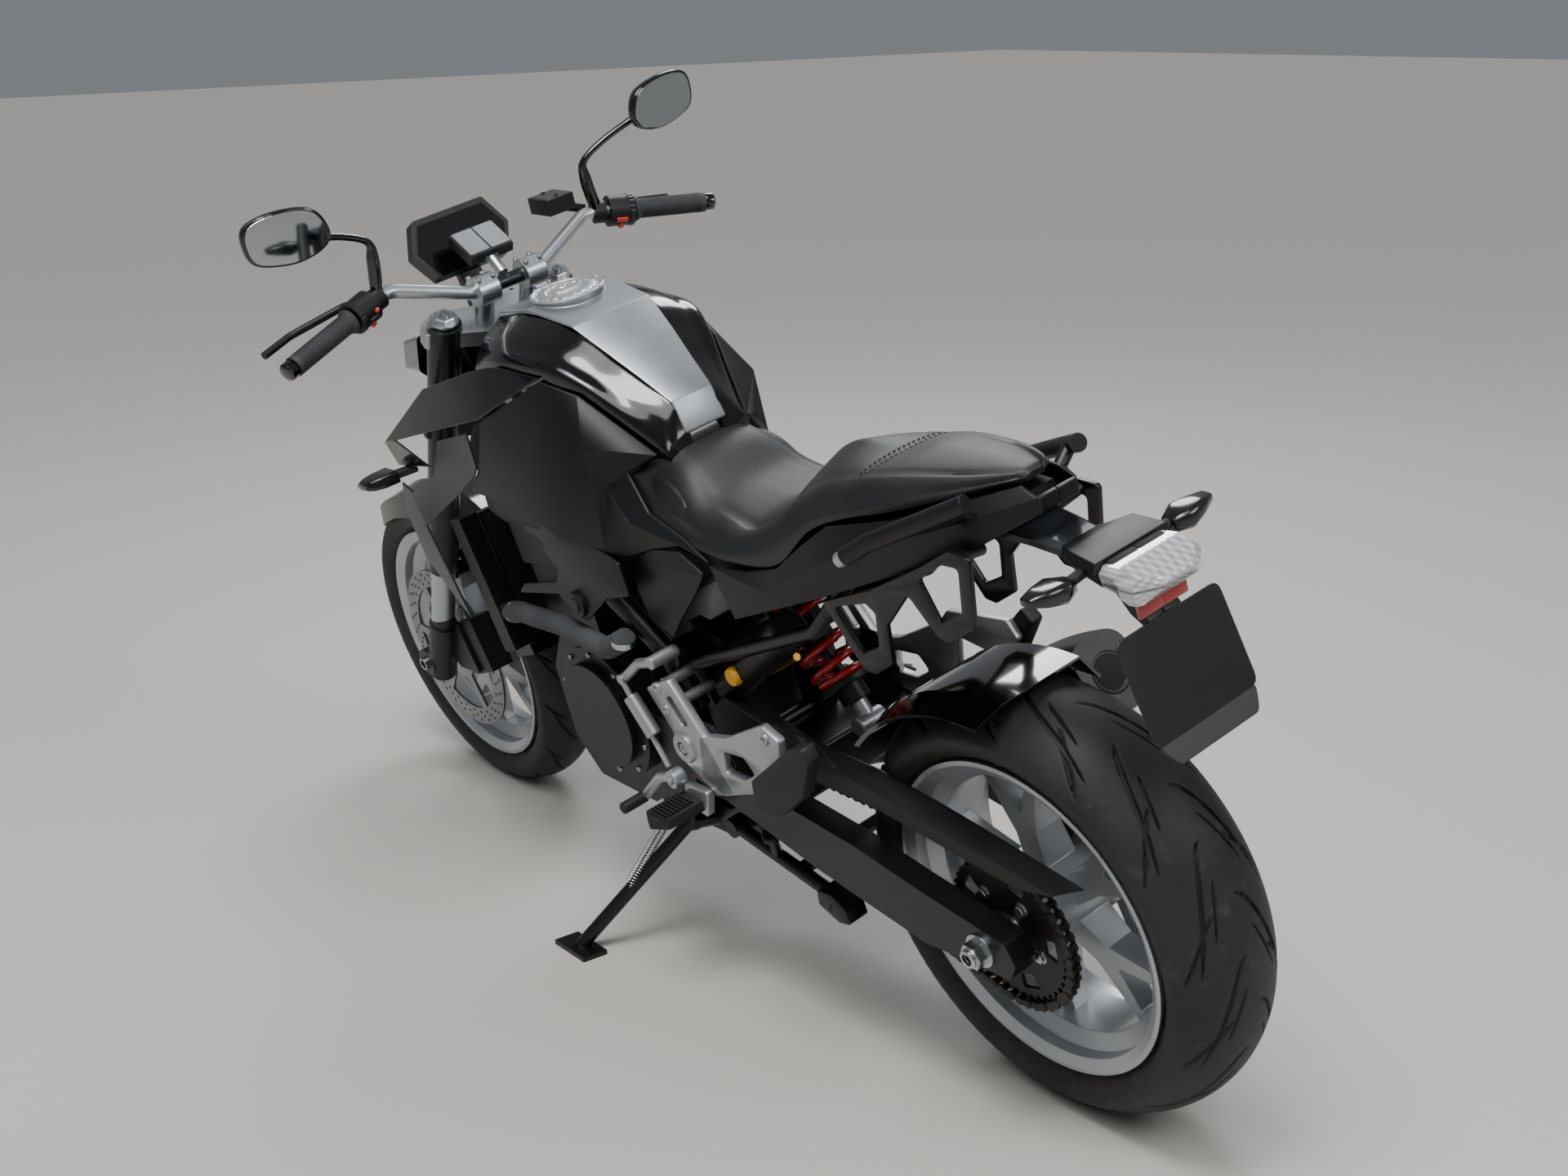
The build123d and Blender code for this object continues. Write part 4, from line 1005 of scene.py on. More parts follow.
# rails at the seat's end and the brackets below them, left half; outlines in (x, z)
tail = {
    "rail": [(118, 152, 851), (84, 140, 872), (-10, 110, 913), (-54, 94, 932)],
    "bracket": [
        (242, 740), (181, 656), (160, 654), (120, 680), (116, 736), (62, 794), (18, 746), (-2, 744),
        (-52, 776), (-64, 872), (-28, 874), (32, 838), (132, 784),
    ],
    "bracketHoles": [
        [(218, 738), (178, 680), (140, 700), (134, 750), (150, 760)],
        [(36, 820), (10, 768), (-34, 792), (-42, 854), (-12, 852)],
    ],
    "neck": [(-44, 43, 862, 878), (-92, 38, 858, 874), (-140, 32, 850, 868)],
    "carrier": [(-134, 30, 869, 850), (-140, 34, 870, 848), (-168, 54, 880, 850), (-213, 60, 876, 842)],
    "block": [(-213, 874), (-213, 842), (-236, 838), (-236, 868)],
    "stalk": [
        (-186, 846), (-228, 842), (-238, 828), (-242, 806), (-252, 796), (-291, 690), (-283, 686),
        (-244, 788), (-224, 800),
    ],
    "lensTop": [(-286, 858), (-262, 866), (-236, 872), (-214, 870)],
    "lensLow": [(-286, 857), (-280, 846), (-266, 832), (-244, 830), (-236, 842), (-214, 844)],
    "lensHalf": [(-290, 20), (-262, 58), (-240, 60), (-205, 58)],
    "lensX": [-285.5, -281, -266, -262, -250, -240, -236, -214],
    "reflector": [(-243, 826), (-250, 825), (-252, 806), (-247, 805)],
    "railEnd": ((-36, 98, 925), (-40, 68, 904), 9),
    "bolt": [(0, 9), (0.6, 10.2), (27, 10.2), (29, 9), (29, 5), (24, 4.6)],
    "boltPlace": (104.0, 147.0, 860.0), "boltWay": (24.0, 11.0, -15.0),
    "bracketRods": [((182, 82, 756), (182, 106, 756), 8), ((-28, 60, 854), (-34, 106, 864), 8)],
    "seamShare": 0.38,  # how far down the lens its widest line lies
    "plate": (-294.0, 0.0, 674.0), "plateFace": (-0.942, 0.0, 0.336), "plateThickness": 3.0,
    "plateOutline": [(-88, 0), (88, 0), (88, 131), (-88, 131)],
    "flap": [(-88, 0), (88, 0), (68, -34), (-68, -34)],
    "flapPlace": (-293.0, 0.0, 680.0), "flapSlope": (0.53, 0.0, 0.85),
}


def buildTail():
    rails = bothSides([pipe(tail["rail"], 12, 30, 20), rod(*tail["railEnd"])])
    piece("grabRails", rails, "castBlack", node="grab_handles")
    bolt = lathe(tail["bolt"], tail["boltPlace"], tail["boltWay"], 28)
    piece("railBolts", bothSides([bolt]), "castSilver", node="grab_handles")
    bracket = [slab(tail["bracket"], 106, 114, 7, tail["bracketHoles"], 1.4)]
    bracket += [rod(*numbers) for numbers in tail["bracketRods"]]
    piece("loopBrackets", bothSides(bracket), "frameBlack", node="luggage_brackets")
    rings = []
    for x, half, low, top in tail["neck"]:
        rings.append(ringAt(x, [(half - 8, top), (half, top - 5), (half, low + 3), (half - 4, low)]))
    neck = [gridOf(np.array(rings))]
    piece("tailNeck", neck, "panelGrey", smooth=30.0, node="tail_carrier")
    rings = []
    for x, half, top, low in tail["carrier"]:
        rings.append(ringAt(x, [(half, top), (half + 6, top - 12), (half - 8, low)]))
    body = [gridOf(np.array(rings))] + bothSides(
        [slab(tail["block"], 0.5, 44, 3), slab(tail["stalk"], 0.5, 28, 5)]
    )
    piece(
        "tailBody", body, "matteBlack", smooth=30.0, node="tail_carrier", bevel=0.0012,
    )
    x = np.array(tail["lensX"])
    top, low, half = (np.interp(x, *np.array(tail[k], float).T) for k in ("lensTop", "lensLow", "lensHalf"))
    seam = top + tail["seamShare"] * (low - top)
    above = seam - 0.12 * (low - top)
    section = np.array([(half - 5, low), (half, seam), (half - 1, above), (half - 9, top)]).transpose(2, 0, 1)
    lens = [skinOf(x, section, False)]
    piece("tailLens", lens, buildLensFinish(), smooth=24.0, node="tail_light")
    red = bothSides([slab(tail["reflector"], 0.2, 40, 1.5, (), 0.5)])
    piece("tailReflector", red, "lensRed", node="tail_light")
    face = unit(tail["plateFace"])
    up = np.cross((0.0, 1.0, 0.0), face)
    place = np.array(tail["plate"]) + tail["plateThickness"] * face
    made = plate(rounded(tail["plateOutline"], 14), tail["plateThickness"], place, (0, 1, 0), up)
    piece("rearPlate", [made], "plateBlack", node="licence_plate")
    made = plate(rounded(tail["flap"], 12), 4.0, tail["flapPlace"], (0, 1, 0), tail["flapSlope"])
    piece("plateFlap", [made], "plateBlack", node="licence_plate")


# pointed lamps on short stalks: (y, middle z, width along x, height) of each ring, at the rear then the front
lamps = {
    "rear": [
        (82, 857, 16, 12), (84, 857, 24, 18), (106, 859, 42, 26), (130, 862, 33, 20), (151, 865, 19, 11),
        (153, 865, 14, 7),
    ],
    "rearX": -193.0, "front": [(1190, 768), (1240, 762), (1270, 770), (1240, 786), (1200, 788)],
    "frontLevels": [(211, 0.8), (214, 1.0), (240, 0.98), (258, 0.82), (266, 0.6), (268, 0.45)],
    "stalks": [((-190, 56, 860), (-192, 88, 858), 7), ((1192, 181, 782), (1215, 215, 776), 8)],
}


# an outline in (x, z) set at one y
def atSide(shape, y):
    return np.column_stack([shape[:, 0], np.full(len(shape), y), shape[:, 1]])


def buildLamps():
    rear = []
    for y, z, width, height in lamps["rear"]:
        rear.append(atSide(roundRect(width, height, 0.32 * height, 4) + (lamps["rearX"], z), y))
    outline = rounded(lamps["front"], 7)
    centre = outline.mean(0)
    front = [atSide(centre + share * (outline - centre), y) for y, share in lamps["frontLevels"]]
    shells = bothSides([gridOf(np.array(rear)), gridOf(np.array(front))])
    piece("lampShells", shells, "lensSmoked", smooth=50.0, node="indicators")
    stalks = bothSides([rod(*numbers) for numbers in lamps["stalks"]])
    piece("lampStalks", stalks, "rubberBlack", node="indicators")


buildTail()
buildLamps()
print("tail made")

# hangers, pegs and pedals: outlines in (x, z) unless named plan
foot = {
    "beam": [(646, 524), (580, 556), (520, 480), (470, 396), (520, 378), (600, 420), (600, 462)],
    "beamHole": [(598, 520), (582, 528), (552, 486), (570, 480)],
    "arm": [(530, 476), (461, 494), (362, 546), (326, 532), (340, 458), (392, 426), (500, 384), (548, 404)],
    "armHole": [(476, 468), (424, 474), (404, 452), (436, 432), (482, 430)],
    "pegPlan": [(548, 174), (598, 174), (604, 252), (580, 266), (552, 250)],
    "clevis": [(530, 384), (590, 380), (600, 346), (546, 336)],
    "leftPeg": [(386, 412), (380, 464), (268, 552), (238, 562), (230, 542), (262, 478), (326, 424)],
    "rightReach": [(362, 546), (326, 532), (236, 520), (196, 560), (214, 586), (340, 570)],
    "rightPeg": [(176, 586), (196, 604), (262, 536), (256, 500), (226, 506)],
    "guard": [(544, 492), (575, 430), (533, 396), (470, 436), (492, 464), (511, 492)],
    "sides": (162, 176),  # the hangers' inner and outer y
    "ring": [(0, 23), (1, 24), (17, 24), (19, 22), (19, 12), (0, 12)], "ringPlace": (577, 162, 442),
    "spacers": [(612, 534, 88, 164, 9), (601, 500, 88, 164, 9)],
    "bolt": [(-4, 9), (2.5, 9), (4, 7.6), (4, 4.4), (1, 4)],
    "boltPlaces": [(612, 534), (601, 500), (577, 442), (356, 528)],
    "leverPaths": [
        ([(603, 188, 388), (650, 188, 374), (712, 188, 318)], 8, 26),
        ([(689, 180, 532), (652, 174, 562), (610, 174, 576)], 8, 14),
        ([(600, -182, 385), (640, -188, 340), (740, -188, 300)], 8, 26),
    ],
    "leverRods": [
        ((616, 188, 403), (689, 188, 532), 4.5), ((634, 188, 452), (675, 188, 507), 12, 1.5),
        ((689, 192, 532), (689, 176, 532), 8), ((603, 177, 388), (603, 199, 388), 15, 1.5),
        ((600, -190, 385), (600, -175, 385), 14, 1.5), ((610, 130, 576), (610, 180, 576), 10),
    ],
    "pivotHead": [(0, 6), (3, 6), (4, 5)], "pivotPlace": (603, 199, 388),
    "tips": [(712, 318, 188, 234, 9.5, 2.5), (740, 296, -224, -188, 12, 2.5)],
}


def buildFoot():
    low, high = foot["sides"]
    half = [slab(foot["beam"], low, high, 7, [foot["beamHole"]], 1.8)]
    half += [
        slab(foot["arm"], low, high, 8, [foot["armHole"]], 1.8), slab(foot["clevis"], 172, 186, 5, (), 1.4),
    ]
    half += [crossRod(*numbers) for numbers in foot["spacers"]]
    half.append(lathe(foot["ring"], foot["ringPlace"], (0, 1, 0), 40, closed=True))
    half += [lathe(foot["bolt"], (x, high, z), (0, 1, 0), 20) for x, z in foot["boltPlaces"]]
    hangers = bothSides(half) + [slab(foot["rightReach"], -176, -163, 7, (), 1.6)]
    piece("pegHangers", hangers, "castSilver", smooth=30.0, node="footrests")
    pads = bothSides([slab(foot["pegPlan"], 347, 365, 8, (), 2.0, True)])
    pads += [slab(foot["leftPeg"], 177, 200, 7, (), 2.5), slab(foot["rightPeg"], -200, -177, 7, (), 2.5)]
    piece("pegRubbers", pads, "rubberBlack", smooth=30.0, node="footrests")
    guards = bothSides([slab(foot["guard"], 158, 161.5, 5)])
    piece("heelGuards", guards, "matteBlack", node="footrests")
    levers = [pipe(*numbers) for numbers in foot["leverPaths"]] + [
        rod(*numbers) for numbers in foot["leverRods"]
    ]
    levers.append(lathe(foot["pivotHead"], foot["pivotPlace"], (0, 1, 0), 6))
    piece("footLevers", levers, "castSilver", node="foot_controls")
    tips = [crossRod(*numbers) for numbers in foot["tips"]]
    piece("leverTips", tips, "rubberBlack", node="foot_controls")


# damper with its reservoir, adjuster and lower clevis; turned profiles are (along, radius)
damper = {
    "top": (520.0, 0.0, 705.0), "foot": (352.0, 0.0, 466.0),
    "upper": [
        (0, 15), (39, 15), (40, 42), (41, 44), (49, 44), (50, 42), (51, 24), (168, 24), (170, 22), (171, 9),
    ],
    "lower": [  # from the foot
        (-71, 9), (-70, 42), (-69, 44), (-61, 44), (-60, 42), (-60, 22), (-35, 22), (-34, 20), (-34, 9),
        (0, 9),
    ],
    "flask": ((556.0, 82.0, 508.0), (398.0, 82.0, 632.0)), "flaskRadius": 27,
    "flaskEnd": [(-3, 27), (-2, 29), (26, 29), (29, 26)],
    "hose": ([(404, 84, 650), (455, 66, 672), (495, 42, 677)], 7, 20),
    "eye": (520, 705, -18, 18, 16), "clevis": (352, 466, -24, 24, 16, 2), "neck": (34, 13),
    "knob": (504, 82, 551), "knobRibs": 9, "tube": ((492, 52, 536), (420, 52, 578), 6.5),
}


def buildDamper():
    top, low = np.array(damper["top"]), np.array(damper["foot"])
    way = unit(low - top)
    length = np.linalg.norm(low - top)
    profile = damper["upper"] + [(length + along, radius) for along, radius in damper["lower"]]
    start, end = (np.array(place) for place in damper["flask"])
    reach = np.linalg.norm(end - start)
    radius = damper["flaskRadius"]
    flask = [(-radius * math.cos(q), radius * math.sin(q)) for q in (0.2, 0.5, 0.8, 1.1, 1.4)] + [(0, radius)]
    flask += [(reach + along, width) for along, width in damper["flaskEnd"]]
    parts = [lathe(profile, top, way, 48), lathe(flask, start, end - start, 40)]
    parts += [crossRod(*damper["eye"]), pipe(*damper["hose"])]
    piece("damperBody", parts, "castBlack", smooth=35.0, node="shock_absorber")
    ribs = [(0, 12)]
    for k in range(damper["knobRibs"]):
        ribs += [(2 + 3 * k, 13.6), (3.5 + 3 * k, 15)]
    knob = [lathe(ribs + [(34, 13)], damper["knob"], (0, 1, 0), 40)]
    piece("damperKnob", knob, "knobYellow", node="shock_absorber")
    piece("damperTube", [rod(*damper["tube"])], "tubeGold", node="shock_absorber")
    neckLength, neckRadius = damper["neck"]
    clevis = [crossRod(*damper["clevis"]), rod(low - neckLength * way, low, neckRadius)]
    piece("damperClevis", clevis, "castSilver", node="shock_absorber")


# the centre stand's tang and feet, and the silencer's outlet
lowFittings = {
    "tang": ([(500, 112, 246), (484, 122, 272), (474, 130, 296)], 8, 20),
    "tangEnd": ((474, 130, 296), (471, 134, 306), 14, 2),
    "stand": [(384, 240), (352, 244), (322, 226), (318, 204), (344, 198), (386, 214)],
    "silencer": (374.0, -224.0, 324.0), "silencerWay": (-332.0, 22.0, 218.0), "silencerLength": 370,
    "ring": [(-6, 23), (-0.2, 23.5), (0.9, 25), (0.9, 30), (-0.2, 31.5), (-6, 32)],
    "mouth": [(-6, 23.4), (0.2, 23.4), (0.4, 23)],
}


def buildLowFittings():
    parts = [pipe(*lowFittings["tang"]), rod(*lowFittings["tangEnd"])]
    parts += bothSides([slab(lowFittings["stand"], 98, 134, 6, (), 1.6)])
    piece("standFeet", parts, "frameBlack", "centre_stand")
    way = unit(lowFittings["silencerWay"])
    end = np.array(lowFittings["silencer"]) + lowFittings["silencerLength"] * way
    piece("outletRing", [lathe(lowFittings["ring"], end, way, 48, closed=True)], "darkSteel")
    # the outlet's bore in near black, painted shade inside the pipe
    piece("outletMouth", [lathe(lowFittings["mouth"], end, way, 40)], "holeShadeBlack")


buildFoot()
buildDamper()
buildLowFittings()
print("footrests and damper made")

chain = {
    "pitch": 15.875, "rearTeeth": 44, "frontTeeth": 17, "shaft": (640.0, 385.0), "middleY": 103.0,
    "plateHalf": 6.6, "waist": 4.4, "plateThickness": 1.6, "rollerRadius": 5.0, "pinRadius": 2.5,
}


# pin places one pitch apart round two circles joined by their outer tangents
def chainPins():
    big, small = (
        chain["pitch"] / (2 * math.sin(math.pi / chain[name])) for name in ("rearTeeth", "frontTeeth")
    )
    gap = np.array(chain["shaft"]) - (0.0, stance["rearRadius"])
    length = np.hypot(*gap)
    rise = math.atan2(gap[1], gap[0])
    taper = math.asin((big - small) / length)
    straight = length * math.cos(taper)
    frontWrap = small * (math.pi - 2 * taper)
    total = 2 * straight + frontWrap + big * (math.pi + 2 * taper)
    count = 2 * round(total / chain["pitch"] / 2)
    s = total * np.arange(count) / count
    topTurn = np.clip((s - straight) / small, 0, math.pi - 2 * taper)
    rearTurn = np.clip((s - 2 * straight - frontWrap) / big, 0, None)
    share = np.clip(s / straight, 0, 1) - np.clip((s - straight - frontWrap) / straight, 0, 1)
    angle = rise + math.pi / 2 - taper - topTurn - rearTurn
    outward = np.stack([np.cos(angle), np.sin(angle)], 1)
    radius = big + (small - big) * share
    return gap * share[:, None] + outward * radius[:, None] + rearHubPlace


# one plate: two round ends and a waist, copied to every second link; rollers and pins at every joint
def buildChain():
    pins = chainPins()
    after = np.roll(pins, -1, 0)
    way = unit(after - pins)
    angle = np.linspace(np.pi * 0.28, np.pi * 1.72, 9)
    end = np.stack([np.cos(angle), np.sin(angle)], 1) * chain["plateHalf"]
    low = np.array(((chain["pitch"] / 2, -chain["waist"]),))
    high = low * (1, -1)
    shape = np.concatenate([end, low, end * (-1, -1) + (chain["pitch"], 0), high])
    parts = []
    for first, offset in ((0, 7.4), (1, 5.4)):
        for side in (-1, 1):
            flat = chain["plateThickness"] / 2
            rings = []
            for depth in (-flat, flat):
                local = pins[first::2, None] + shape[None, :, :1] * way[first::2, None]
                normal = np.stack([-way[first::2, 1], way[first::2, 0]], 1)
                local = local + shape[None, :, 1:] * normal[:, None]
                y = np.full(local.shape[:2], chain["middleY"] + side * offset + depth)
                rings.append(np.stack([local[..., 0], y, local[..., 1]], -1))
            stacked = np.stack(rings, 1)
            parts += manyGrids(stacked)
    circle = onCircle(turns(8), np.array((1.0, 0.0, 0.0)), np.array((0.0, 0.0, 1.0)))
    centre = np.stack([pins[:, 0], np.full(len(pins), chain["middleY"]), pins[:, 1]], 1)
    for radius, reach in ((chain["rollerRadius"], 4.6), (chain["pinRadius"], 8.8)):
        ends = [centre[:, None] + circle * radius + (0, reach * side, 0) for side in (-1, 1)]
        parts += manyGrids(np.stack(ends, 1))
    piece("chainLinks", parts, "darkSteel", "rear_wheel", node="drive_chain")


buildChain()
print("chain made")

# the spring's ends are distances from the damper's top and foot
spring = {
    "start": 51.0, "end": 70.0, "radius": 37.5, "wire": 6.0, "turns": 6.5, "steps": 190, "flatEnd": 0.07,
}


# helix about the damper's line; its first and last half turns close up flat
def buildSpring():
    top, foot = np.array(damper["top"]), np.array(damper["foot"])
    low = spring["start"] + spring["wire"]
    high = np.linalg.norm(foot - top) - spring["end"] - spring["wire"]
    share = (np.linspace(0, 1, spring["steps"]) - spring["flatEnd"]) / (1 - 2 * spring["flatEnd"])
    along = low + (high - low) * np.clip(share, 0, 1)
    made = coil(top, unit(foot - top), along, spring["radius"], spring["turns"], spring["wire"], 14)
    piece("shockSpringCoil", [made], "springRed", node="shock_spring")


buildSpring()
print("spring made")

grip = {
    "end": (1045.0, 385.0, 1055.0), "root": (1094.0, 186.0, 1097.0), "length": 125.0, "radius": 16.0,
    "ribs": 30, "ribHeight": 1.0, "weight": [(-18, 8), (-17, 12), (-14, 14.4), (-3, 14.4), (0, 13.5), (0, 8)],
}
gripEnd = np.array(grip["end"])
inward = unit(np.array(grip["root"]) - gripEnd)


# grip: rings of ribs between two smooth collars, and a turned weight at the bar's end
def buildGrips():
    length, radius, ribs = grip["length"], grip["radius"], grip["ribs"]
    along = np.linspace(8, length - 12, ribs * 4 + 1)
    raised = np.cos((along - 8) / (length - 20) * ribs * 2 * np.pi) > 0
    profile = [(0.5, radius - 2), (0.5, radius), (7.5, radius)]
    profile += list(zip(along, radius - 0.9 + grip["ribHeight"] * raised))
    profile += [
        (length - 11, radius), (length - 4, radius + 4), (length - 0.5, radius + 4), (length - 0.5, 11.3),
    ]
    rubber = lathe(profile, gripEnd, inward, 40)
    weight = lathe(grip["weight"], gripEnd, inward, 32)
    piece("gripRubbers", bothSides([rubber]), "rubberGrey", "steering", 25.0, node="grips")
    piece("barWeights", bothSides([weight]), "glossBlack", "steering", node="grips")


buildGrips()
print("grips made")

switchgear = {
    "ringStart": 128.0, "ridges": 26, "ringRadius": 25.5, "ridgeHeight": 0.8,
    "ring": [(0, 0.9), (1.2, 1.0), (8.8, 1.0), (10, 0.9)],
    "lid": (1130, -153, 1134.2),
    "pod": 152,
}


# switch pods: a ridged ring beside each grip, raised rockers and buttons on the housing
def buildSwitches():
    up = unit(np.cross(inward, (0.0, -1.0, 0.0)) + (0, 0, 1e-6))
    back = unit(np.cross(up, inward))
    back = back * (1 if back[0] < 0 else -1)
    top = upward(unit(np.cross(inward, back)))
    angle = turns(switchgear["ridges"] * 4)
    reach = switchgear["ringRadius"] + switchgear["ridgeHeight"] * (np.cos(angle * switchgear["ridges"]) > 0)
    ring = reach[:, None] * onCircle(angle, back, top)
    points = [
        gripEnd + inward * (switchgear["ringStart"] + step) + ring * share
        for step, share in switchgear["ring"]
    ]
    piece("switchRings", bothSides([gridOf(np.array(points))]), "tubeGrey", "steering")
    place = np.array(switchgear["lid"])
    lid = [plate(roundRect(57, 47, 7), 2.6, place, (1, 0, 0), (0, 1, 0))]
    lid += [socketBolt(place + (step, 0, 2.3), (0.0, 0.0, 1.0), 3.2) for step in (-20, 20)]
    piece("reservoirLid", lid, "rubberBlack", "steering")
    pod = gripEnd + inward * switchgear["pod"]
    rocker = plate(roundRect(20, 9, 3), 3.5, pod + back * 23 + top * 5, inward, np.cross(back, inward))
    button = lathe([(0, 6), (2.5, 6), (4, 5), (4.2, 2)], pod + back * 22 + top * -9, back, 20)
    second = lathe([(0, 4.5), (2.5, 4.5), (3.8, 3.5)], pod + back * 20 + top * 14 + inward * 8, back, 18)
    piece("hornButtons", [button, second], "signalRed", "steering")
    piece("stopSwitch", bothSides([rocker, button])[2:], "signalRed", "steering")
    piece("leftRocker", [rocker], "rubberBlack", "steering")


buildSwitches()
print("switches made")

# filler lid: (height, radius) rows of the scalloped middle and (along, radius) profiles of its turned parts
cap = {
    "place": (884.0, 0.0, 1056.0), "bolts": 6, "boltRing": 54.5, "teeth": 18, "toothShare": 0.035,
    "rim": [(-1.4, 50.3), (0.6, 51), (1.8, 53), (1.8, 56), (0.8, 57.6), (-1.5, 57.8)],
    "levels": [(-1.4, 46.0), (0.9, 45.0), (2.0, 42.5), (2.2, 33.0), (0.8, 31.0), (0.6, 22.0)],
    "lock": [(0.4, 8.5), (4.2, 8.5), (5.0, 7.6), (5.0, 2.5), (3.6, 2.3)],
    "body": [(-3.4, 55.5), (-3, 56.5), (-1.4, 56.9), (-1.2, 50.5)],
    "screw": [(0, 3.2), (1.4, 3.2), (1.9, 2.7), (1.9, 1.6), (0.8, 1.5)],
    "tab": [(50, -9), (73, -8), (73, 8), (50, 9)],
}


# rim, domed middle ring with scallops, a raised lock flap, the hinge's tab and screws on the rim
def buildCap():
    centre = np.array(cap["place"])
    up = (0.0, 0.0, 1.0)
    angle = turns(cap["teeth"] * 8)
    wave = 1 + cap["toothShare"] * np.cos(angle * cap["teeth"])
    circle = onCircle(angle, np.array((1.0, 0.0, 0.0)), np.array((0.0, 1.0, 0.0))) * wave[:, None]
    made = [gridOf(np.array([centre + radius * circle + (0, 0, height) for height, radius in cap["levels"]]))]
    made.append(plate(roundRect(46, 17, 8), 3.0, centre + (-1, 0, 0.4), (0, 1, 0), (-1, 0, 0)))
    made += [lathe(cap["rim"], centre, up, 72), lathe(cap["body"], centre, up, 72)]
    made.append(lathe(cap["lock"], centre + (14.0, 0.0, 0.0), up, 28))
    made.append(plate(cap["tab"], 4.0, centre - (0, 0, 3.2), (1, 0, 0), (0, 1, 0)))
    made.append(crossRod(955, 1055, -9.5, 9.5, 4))
    turn = 2 * np.pi * (np.arange(cap["bolts"]) + 0.5) / cap["bolts"]
    for x, y in zip(np.cos(turn), np.sin(turn)):
        made.append(lathe(cap["screw"], centre + (cap["boltRing"] * x, cap["boltRing"] * y, 1.6), up, 14))
    piece("capTop", made, "capPale", "fuel_cap", 30.0, node="fuel_cap")


buildCap()
print("cap made")

mirror = {
    "outline": [(-68, -10), (-50, 30), (6, 43), (56, 36), (68, 8), (56, -26), (-2, -41), (-50, -33)],
    "place": (1030.0, 340.0, 1238.0), "across": (0.1, 1.0, 0.0), "facing": (-1.0, 0.1, -0.04),
    "shell": [
        (-0.6, 0.86), (-0.8, 0.92), (0.4, 0.955), (3.0, 0.97), (9.0, 0.965), (18.0, 0.88), (26.0, 0.7),
        (31.0, 0.42), (32.5, 0.2),
    ],
    "stem": [
        (1088, 206, 1098), (1084, 198, 1150), (1079, 200, 1180), (1070, 240, 1203), (1060, 300, 1222),
        (1052, 334, 1234),
    ],
    "stemRadii": [10.0, 10.0, 6.0, 5.6, 6.4, 11.0],
    "glassShare": 0.885,
    "glassThickness": 1.2,
}


# mirror: rings of one rounded outline swelling forwards into a shell, a glass in its rim, and a booted stem
def buildMirrors():
    facing, across = unit(mirror["facing"]), unit(mirror["across"])
    up = upward(np.cross(across, facing))
    out = np.cross(across, up)
    place = np.array(mirror["place"])
    shape = closedCurve(mirror["outline"], 7)
    flat = shape[:, :1] * across + shape[:, 1:] * up
    rings = np.array([place - facing * depth + share * flat for depth, share in mirror["shell"]])
    radii = curveThrough(np.array(mirror["stemRadii"])[:, None], 10)[:, 0]
    shells = bothSides([gridOf(rings), tube(curveThrough(mirror["stem"], 10), radii, 16, (1.0, 0.2, 0.0))])
    piece("mirrorShells", shells, "glossBlack", "steering", node="mirrors")
    back = 0 if np.dot(out, facing) > 0 else mirror["glassThickness"]
    start = place + facing * 0.9 - out * back
    glasses = bothSides(
        [plate(shape * mirror["glassShare"], mirror["glassThickness"], start, across, up, 0.4)]
    )
    piece("mirrorGlasses", glasses, "mirrorGlass", "steering", node="mirrors")


buildMirrors()
print("mirrors made")

# holes in the discs: each face's y and the way it looks, then inner and outer radius, rows, and holes a row
discs = {
    "frontFaces": [(71.0, 1), (66.0, -1), (-71.0, -1), (-66.0, 1)], "front": (130.0, 156.0, 3, 30),
    "rearFaces": [(-72.0, 1), (-77.0, -1)], "rear": (95.0, 121.0, 3, 24),
    "holeRadius": 3.2, "depths": (-0.3, 0.12),
}


# drilled rings: short dark cups set just proud of a disc's face, in slanted rows; their near black is painted
# shade where the holes show dark
def discHoles(hub, faces, inner, outer, rows, around):
    circle = onCircle(turns(10), np.array((1.0, 0.0, 0.0)), np.array((0.0, 0.0, 1.0))) * discs["holeRadius"]
    made = []
    for y, facing in faces:
        for row in range(rows):
            radius = inner + (outer - inner) * (row + 0.5) / rows
            centres = ringOfPlaces(hub, y, radius, around, row / rows)
            rings = [centres[:, None] + circle + (0, step * facing, 0) for step in discs["depths"]]
            made += manyGrids(np.stack(rings, 1))
    return made


frontHoles = discHoles(frontHubPlace, discs["frontFaces"], *discs["front"])
rearHoles = discHoles(rearHubPlace, discs["rearFaces"], *discs["rear"])
# the holes' cups carry painted shade
piece("frontDiscHoles", frontHoles, "holeShadeBlack", "front_wheel")
piece("rearDiscHoles", rearHoles, "holeShadeBlack", "rear_wheel")
print("disc holes made")

screws = {
    "nuts": (106.0, 58, 5, 0.5), "nutRadius": 8.0,  # y, ring's radius, count and first turn
    # centre, y, ring's radius and count
    "covers": [((812, 425), 165.0, 103, 10), ((760, 400), -172.0, 109, 12)],
    "screwRadius": 4.5,
}


# nuts on the rear sprocket, and screws round both engine covers
def buildScrews():
    nuts = []
    for spot in ringOfPlaces(rearHubPlace, *screws["nuts"]):
        nuts += hexBolt(spot, (0.0, 1.0, 0.0), screws["nutRadius"])
    piece("sprocketNuts", nuts, "brightSteel", "rear_wheel")
    heads = []
    for centre, y, radius, count in screws["covers"]:
        axis = (0.0, math.copysign(1.0, y), 0.0)
        heads += [
            socketBolt(spot, axis, screws["screwRadius"]) for spot in ringOfPlaces(centre, y, radius, count)
        ]
    piece("coverScrews", heads, "brightSteel")


buildScrews()
print("screws made")

rake = math.radians(stance["rake"])
upFork = np.array((-math.sin(rake), 0.0, math.cos(rake)))
aheadFork = np.array((math.cos(rake), 0.0, math.sin(rake)))
